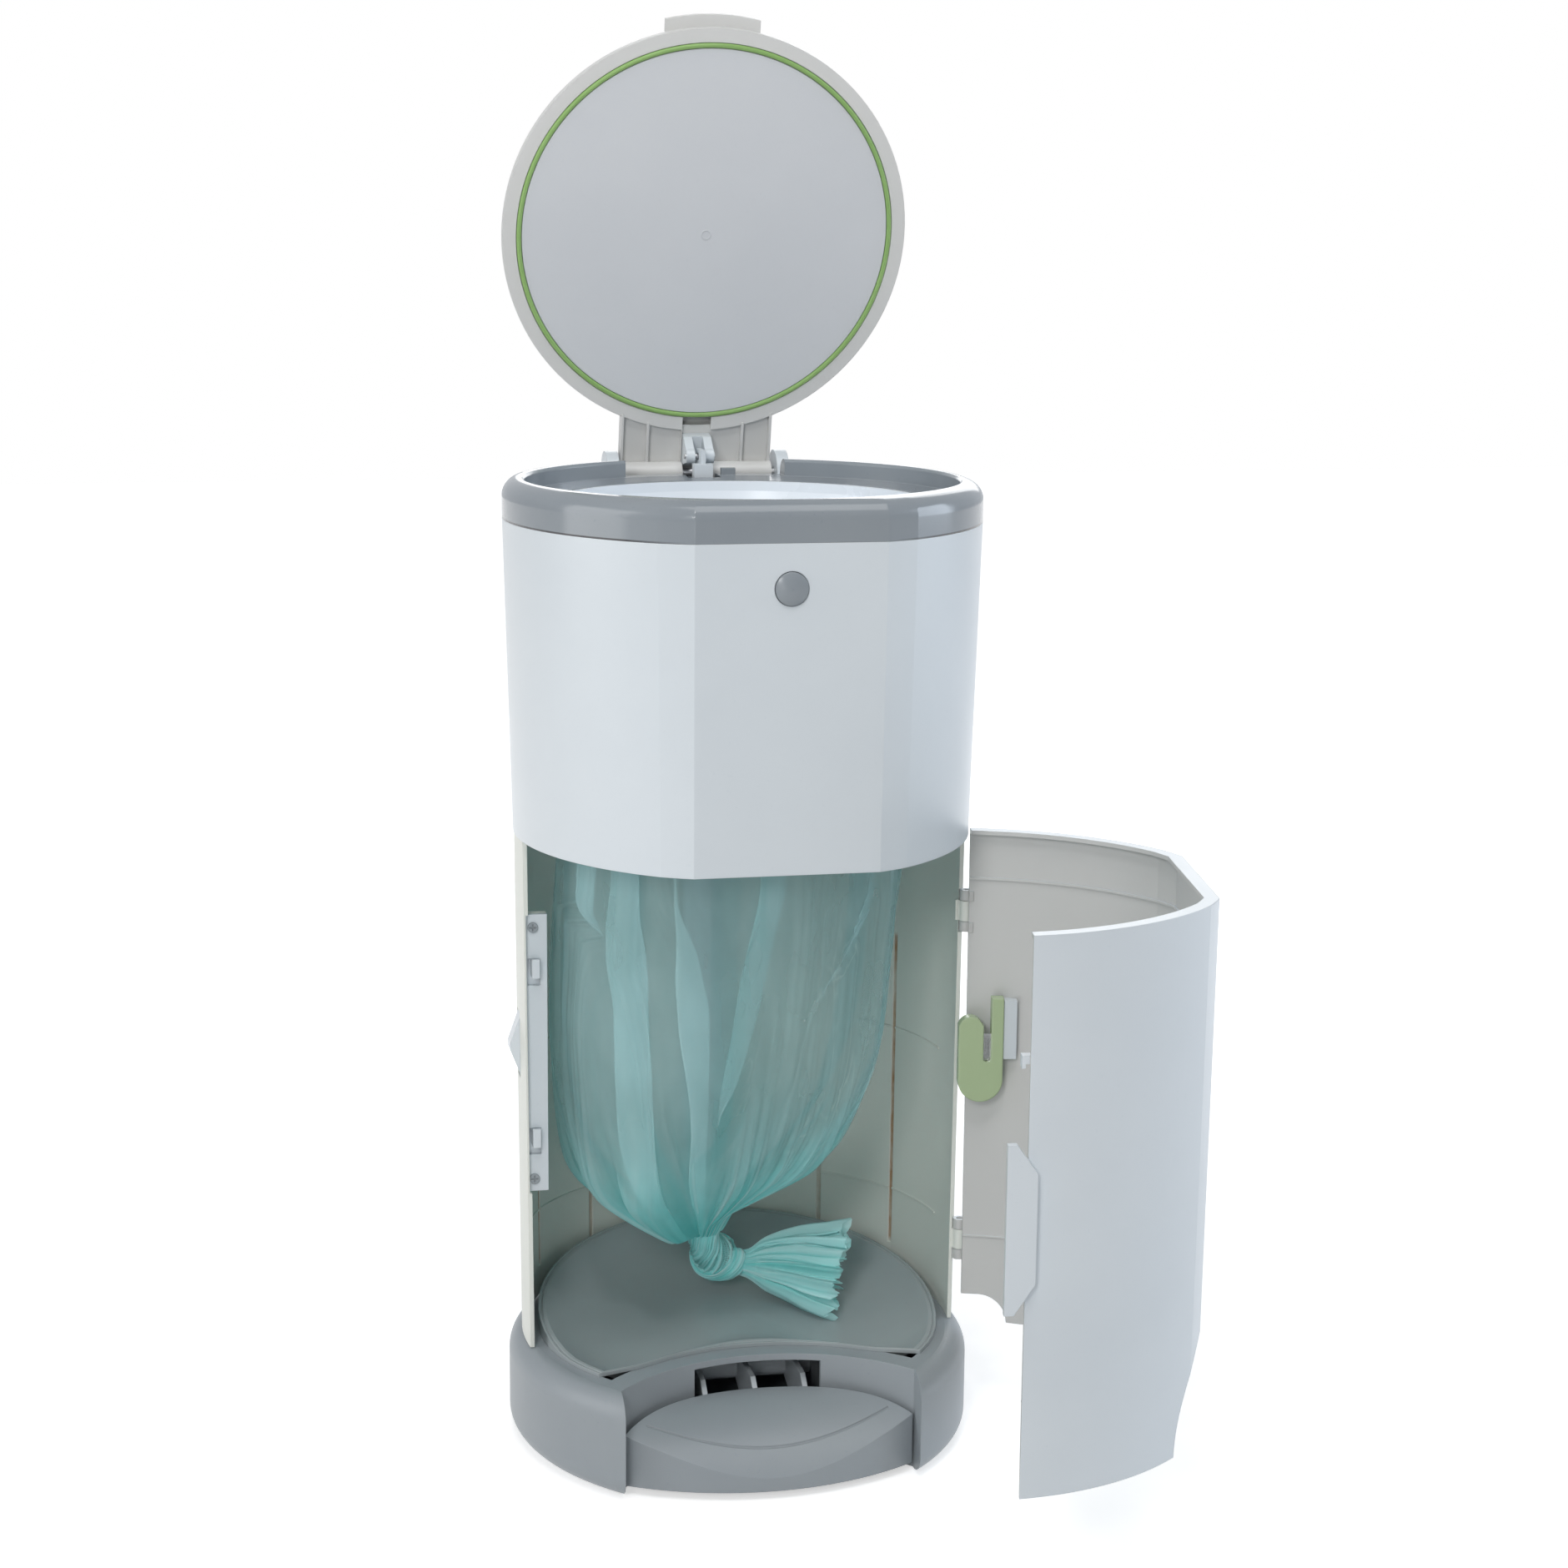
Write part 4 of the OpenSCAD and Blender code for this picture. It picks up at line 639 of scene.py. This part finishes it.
def make_tail():
    # A paler, brighter copy of the film for the tail and knot: partly their bunched layers,
    # partly painted light
    bunched = film_material(
        "film_bunched_lit",
        thin=(0.72, 1.0, 1.0),
        dense=(0.46, 1.0, 0.99),
        shade=(0.16, 0.86, 0.82),
        clear=0.80,
        opaque=0.98,
    )
    tail = tube_sheet(
        "film_tail", TAIL_ROWS, TAIL_COLUMNS, tail_point, bunched, "body"
    )
    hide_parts("bag_tail")
    knot = tube_sheet(
        "film_knot", KNOT_ROWS, KNOT_COLUMNS, knot_point, bunched, "body"
    )


# Materials of the CAD pieces

WHITE = (0.68, 0.73, 0.765)
# Painted shade: the lid's white is warmer and a little darker than the rest
LID_SHADED_WHITE = (0.70, 0.70, 0.685)
# Painted light: the funnel's white is paler and bluer than the rest
FUNNEL_LIT_WHITE = (0.83, 0.88, 0.93)
CASING = (0.80, 0.82, 0.76)
GREY = (0.305, 0.337, 0.36)
COLLAR = (0.255, 0.285, 0.31)
TRAY = (0.36, 0.40, 0.41)
LINING = (0.66, 0.68, 0.705)
CUTTER = (0.44, 0.55, 0.33)
SEAL = (0.25, 0.43, 0.13)
FOOT = (0.03, 0.03, 0.032)

STAIN = (0.44, 0.25, 0.13, 1)
# Grooves with a stain: angle in degrees, top in metres and strength
STAINS = ((31, 0.273, 0.95), (55, 0.15, 0.5), (125, 0.12, 0.6), (149, 0.273, 0.9))
STAIN_FOOT = 0.078
STAIN_HALF = 0.0105  # radians
# Painted shade of the joint under the collar, at its two sides
SEAM_SHADE = (0.05, 0.05, 0.055, 1)
SEAM_TOP = 0.5402
DOOR_AXIS = (0.091, -0.1456, 0.0)
# Painted shade on the door's inner side
DOOR_INNER_SHADE = (0.59, 0.59, 0.575, 1)
# Painted shade in the gap round the lock button's face
BUTTON_GAP_SHADE = (0.07, 0.075, 0.085, 1)
BUTTON_DOME = -10.0  # height over distance squared
SMOOTH_BELOW = math.radians(28)
WELD = 1e-6


def inward(t, axis):
    """1 where a face looks towards an upright axis, 0 where it looks away."""
    where = t.add("TexCoord")
    out = t.vector("SUBTRACT", where.outputs["Object"], axis)
    level = t.vector("MULTIPLY", out.outputs[0], (1, 1, 0))
    dot = t.vector("DOT_PRODUCT", level.outputs[0], where.outputs["Normal"])
    return t.spread(dot.outputs["Value"], -0.02, 0.0, 1.0, 0.0)


def grooves(t, tone):
    """Brown marks in the upright grooves of the casing's inner wall."""
    inner = inward(t, (0, 0, 0))
    axes = t.axes()
    angle = t.math("ARCTAN2", axes["Y"], axes["X"])
    patchy = t.spread(t.noise(60, 4, 0.7, t.place((1, 1, 0.4))), 0.35, 0.6, 0.35, 1.0)
    foot = t.spread(axes["Z"], STAIN_FOOT, STAIN_FOOT + 0.004)
    for degrees, top, strength in STAINS:
        off = t.math("ABSOLUTE", t.math("SUBTRACT", angle, math.radians(degrees)))
        mark = t.spread(off, STAIN_HALF, STAIN_HALF + 0.0017, strength, 0.0)
        head = t.spread(axes["Z"], top, top + 0.004, 1.0, 0.0)
        tone = t.mix(t.times(mark, head, foot, patchy, inner), tone, STAIN)
    return tone


def collar_seam_shade(t, tone):
    """Painted shade in the joint line under the collar, at the two sides."""
    axes = t.axes()
    line = t.spread(axes["Z"], SEAM_TOP - 0.0004, SEAM_TOP, 1.0, 0.0)
    side = t.spread(t.math("ABSOLUTE", axes["X"]), 0.055, 0.085)
    return t.mix(t.times(line, side), tone, SEAM_SHADE)


def door_inner_shade(t, tone):
    """Painted shade: the door's inner side is drawn a warmer and darker white."""
    return t.mix(inward(t, DOOR_AXIS), tone, DOOR_INNER_SHADE)


def button_dome_and_gap_shade(t, tone):
    """The lock button's face, a little more domed than its mesh, with painted shade of the gap
    round its edge.
    """
    low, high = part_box("lock_button")
    middle = ((low[0] + high[0]) / 2, 0, (low[2] + high[2]) / 2)
    flat = t.vector("MULTIPLY", t.vector("SUBTRACT", t.here(), middle).outputs[0], (1, 0, 1))
    away = t.vector("LENGTH", flat.outputs[0]).outputs["Value"]
    t.relief = t.times(t.math("POWER", away, 2.0), BUTTON_DOME)
    half = (high[0] - low[0]) / 2
    # Painted shade of the gap round the face
    edge = t.spread(away, half - 0.0011, half - 0.0004)
    return t.mix(t.times(edge, 0.8), tone, BUTTON_GAP_SHADE)


def dress():
    by_slot = {
        "white_gloss": plastic("white_plastic", WHITE, 0.30),
        "casing_white": plastic("casing_plastic", CASING, 0.42, grain_depth=0.2, marks=grooves),
        "grey_gloss": plastic("collar_plastic", COLLAR, 0.15, bevel=0.001, marks=collar_seam_shade),
        "grey_satin": plastic("grey_plastic", GREY, 0.40, grain=1300, grain_depth=0.3),
        "lid_lining": plastic("lining_plastic", LINING, 0.40, grain_depth=0.2),
        "cutter_green": plastic("cutter_plastic", CUTTER, 0.22, bevel=0.0016),
        "seal_green": rubber("seal_rubber", SEAL, 0.5),
        "foot_rubber": rubber("foot_rubber_dark", FOOT),
        "steel": brushed_steel("brushed_steel"),
    }
    own = {
        "door_shell": plastic("door_plastic", WHITE, 0.30, marks=door_inner_shade),
        "lid_shell": plastic("lid_shaded_plastic", LID_SHADED_WHITE, 0.33),
        "funnel": plastic("funnel_lit_plastic", FUNNEL_LIT_WHITE, 0.28),
        "lock_button": plastic("button_plastic", COLLAR, 0.22, bevel=0.001, marks=button_dome_and_gap_shade),
        "tray": plastic("tray_plastic", TRAY, 0.2, grain=1300, grain_depth=0.15),
    }
    for item in frame["record"]["subparts"]:
        name = item["node"]
        coat = own.get(name) or by_slot.get(item["material_slot"])
        if coat:
            for place in frame["nodes"][name].material_slots:
                place.material = coat


def smooth_faceted(name, angle):
    """Smooth shading over a node whose mesh comes as loose triangles."""
    group = bpy.data.node_groups.new(name + "_smooth", "GeometryNodeTree")
    for way in ("INPUT", "OUTPUT"):
        group.interface.new_socket("Geometry", in_out=way, socket_type="NodeSocketGeometry")
    start = group.nodes.new("NodeGroupInput")
    end = group.nodes.new("NodeGroupOutput")
    merge = group.nodes.new("GeometryNodeMergeByDistance")
    merge.inputs["Distance"].default_value = WELD
    chain = [merge]
    for attribute in ("custom_normal", "sharp_edge", "sharp_face"):
        drop = group.nodes.new("GeometryNodeRemoveAttribute")
        drop.inputs["Name"].default_value = attribute
        chain.append(drop)
    bend = group.nodes.new("GeometryNodeInputMeshEdgeAngle")
    gentle = group.nodes.new("FunctionNodeCompare")
    gentle.data_type = "FLOAT"
    gentle.operation = "LESS_THAN"
    group.links.new(bend.outputs["Unsigned Angle"], gentle.inputs[0])
    gentle.inputs[1].default_value = angle
    faces = group.nodes.new("GeometryNodeSetShadeSmooth")
    edges = group.nodes.new("GeometryNodeSetShadeSmooth")
    edges.domain = "EDGE"
    group.links.new(gentle.outputs[0], edges.inputs["Shade Smooth"])
    link = start.outputs[0]
    for step in (*chain, faces, edges):
        group.links.new(link, step.inputs[0])
        link = step.outputs[0]
    group.links.new(link, end.inputs[0])
    modifier = frame["nodes"][name].modifiers.new("smooth", "NODES")
    modifier.node_group = group


# Floor and world

FLOOR_HALF = 6.0
# Distance in metres and the floor's own glow there, near the bin and away from it
GLOW_NEAR, GLOW_FAR = (0.3, 0.55), (1.2, 1.0)
FILL_TINT = (0.93, 0.96, 1.0, 1)
FILL_LIGHT, SEEN_IN_GLOSS = 0.11, 0.75
PAPER_WHITE = (1, 1, 1, 1)


def make_stage():
    floor = bpy.data.meshes.new("floor")
    made = bmesh.new()
    bmesh.ops.create_grid(made, x_segments=8, y_segments=8, size=FLOOR_HALF)
    made.to_mesh(floor)
    made.free()
    stage = bpy.data.objects.new("floor", floor)
    scene.collection.objects.link(stage)
    t = Tree("floor_paper")
    tone = t.mix(t.noise(3, 3), (0.80, 0.80, 0.80, 1), (0.84, 0.84, 0.84, 1))
    base = t.principled(Base_Color=tone, Roughness=t.spread(t.noise(40), 0.3, 0.7, 0.6, 0.8))
    rays = t.add("LightPath").outputs
    seen = t.math("ADD", rays["Is Camera Ray"], rays["Is Glossy Ray"])
    seen = t.math("ADD", seen, rays["Is Transmission Ray"], clamp=True)
    away = t.vector("LENGTH", t.here()).outputs["Value"]
    lit = t.spread(away, GLOW_NEAR[0], GLOW_FAR[0], GLOW_NEAR[1], GLOW_FAR[1])
    glow = t.add("Emission", {"Color": PAPER_WHITE, "Strength": t.times(seen, lit)})
    floor.materials.append(
        t.surface(t.add("AddShader", {0: base.outputs[0], 1: glow.outputs[0]}))
    )


def make_world():
    """Plain white where it is seen or shines through, dim as a light."""
    world = bpy.data.worlds.new("studio")
    scene.world = world
    world.use_nodes = True
    tree = world.node_tree
    tree.nodes.clear()
    out = tree.nodes.new("ShaderNodeOutputWorld")
    rays = tree.nodes.new("ShaderNodeLightPath")
    seen = tree.nodes.new("ShaderNodeMath")
    seen.operation = "MAXIMUM"
    tree.links.new(rays.outputs["Is Camera Ray"], seen.inputs[0])
    tree.links.new(rays.outputs["Is Transmission Ray"], seen.inputs[1])
    fill = tree.nodes.new("ShaderNodeBackground")
    fill.inputs["Color"].default_value = FILL_TINT
    shine = tree.nodes.new("ShaderNodeMapRange")
    tree.links.new(rays.outputs["Is Glossy Ray"], shine.inputs[0])
    shine.inputs["To Min"].default_value = FILL_LIGHT
    shine.inputs["To Max"].default_value = SEEN_IN_GLOSS
    tree.links.new(shine.outputs[0], fill.inputs["Strength"])
    white = tree.nodes.new("ShaderNodeBackground")
    white.inputs["Color"].default_value = PAPER_WHITE
    white.inputs["Strength"].default_value = 1.0
    both = tree.nodes.new("ShaderNodeMixShader")
    tree.links.new(seen.outputs[0], both.inputs[0])
    tree.links.new(fill.outputs[0], both.inputs[1])
    tree.links.new(white.outputs[0], both.inputs[2])
    tree.links.new(both.outputs[0], out.inputs["Surface"])


make_camera()
make_film()
make_tail()
dress()
smooth_faceted("tray", SMOOTH_BELOW)
make_stage()
make_world()
make_lights()
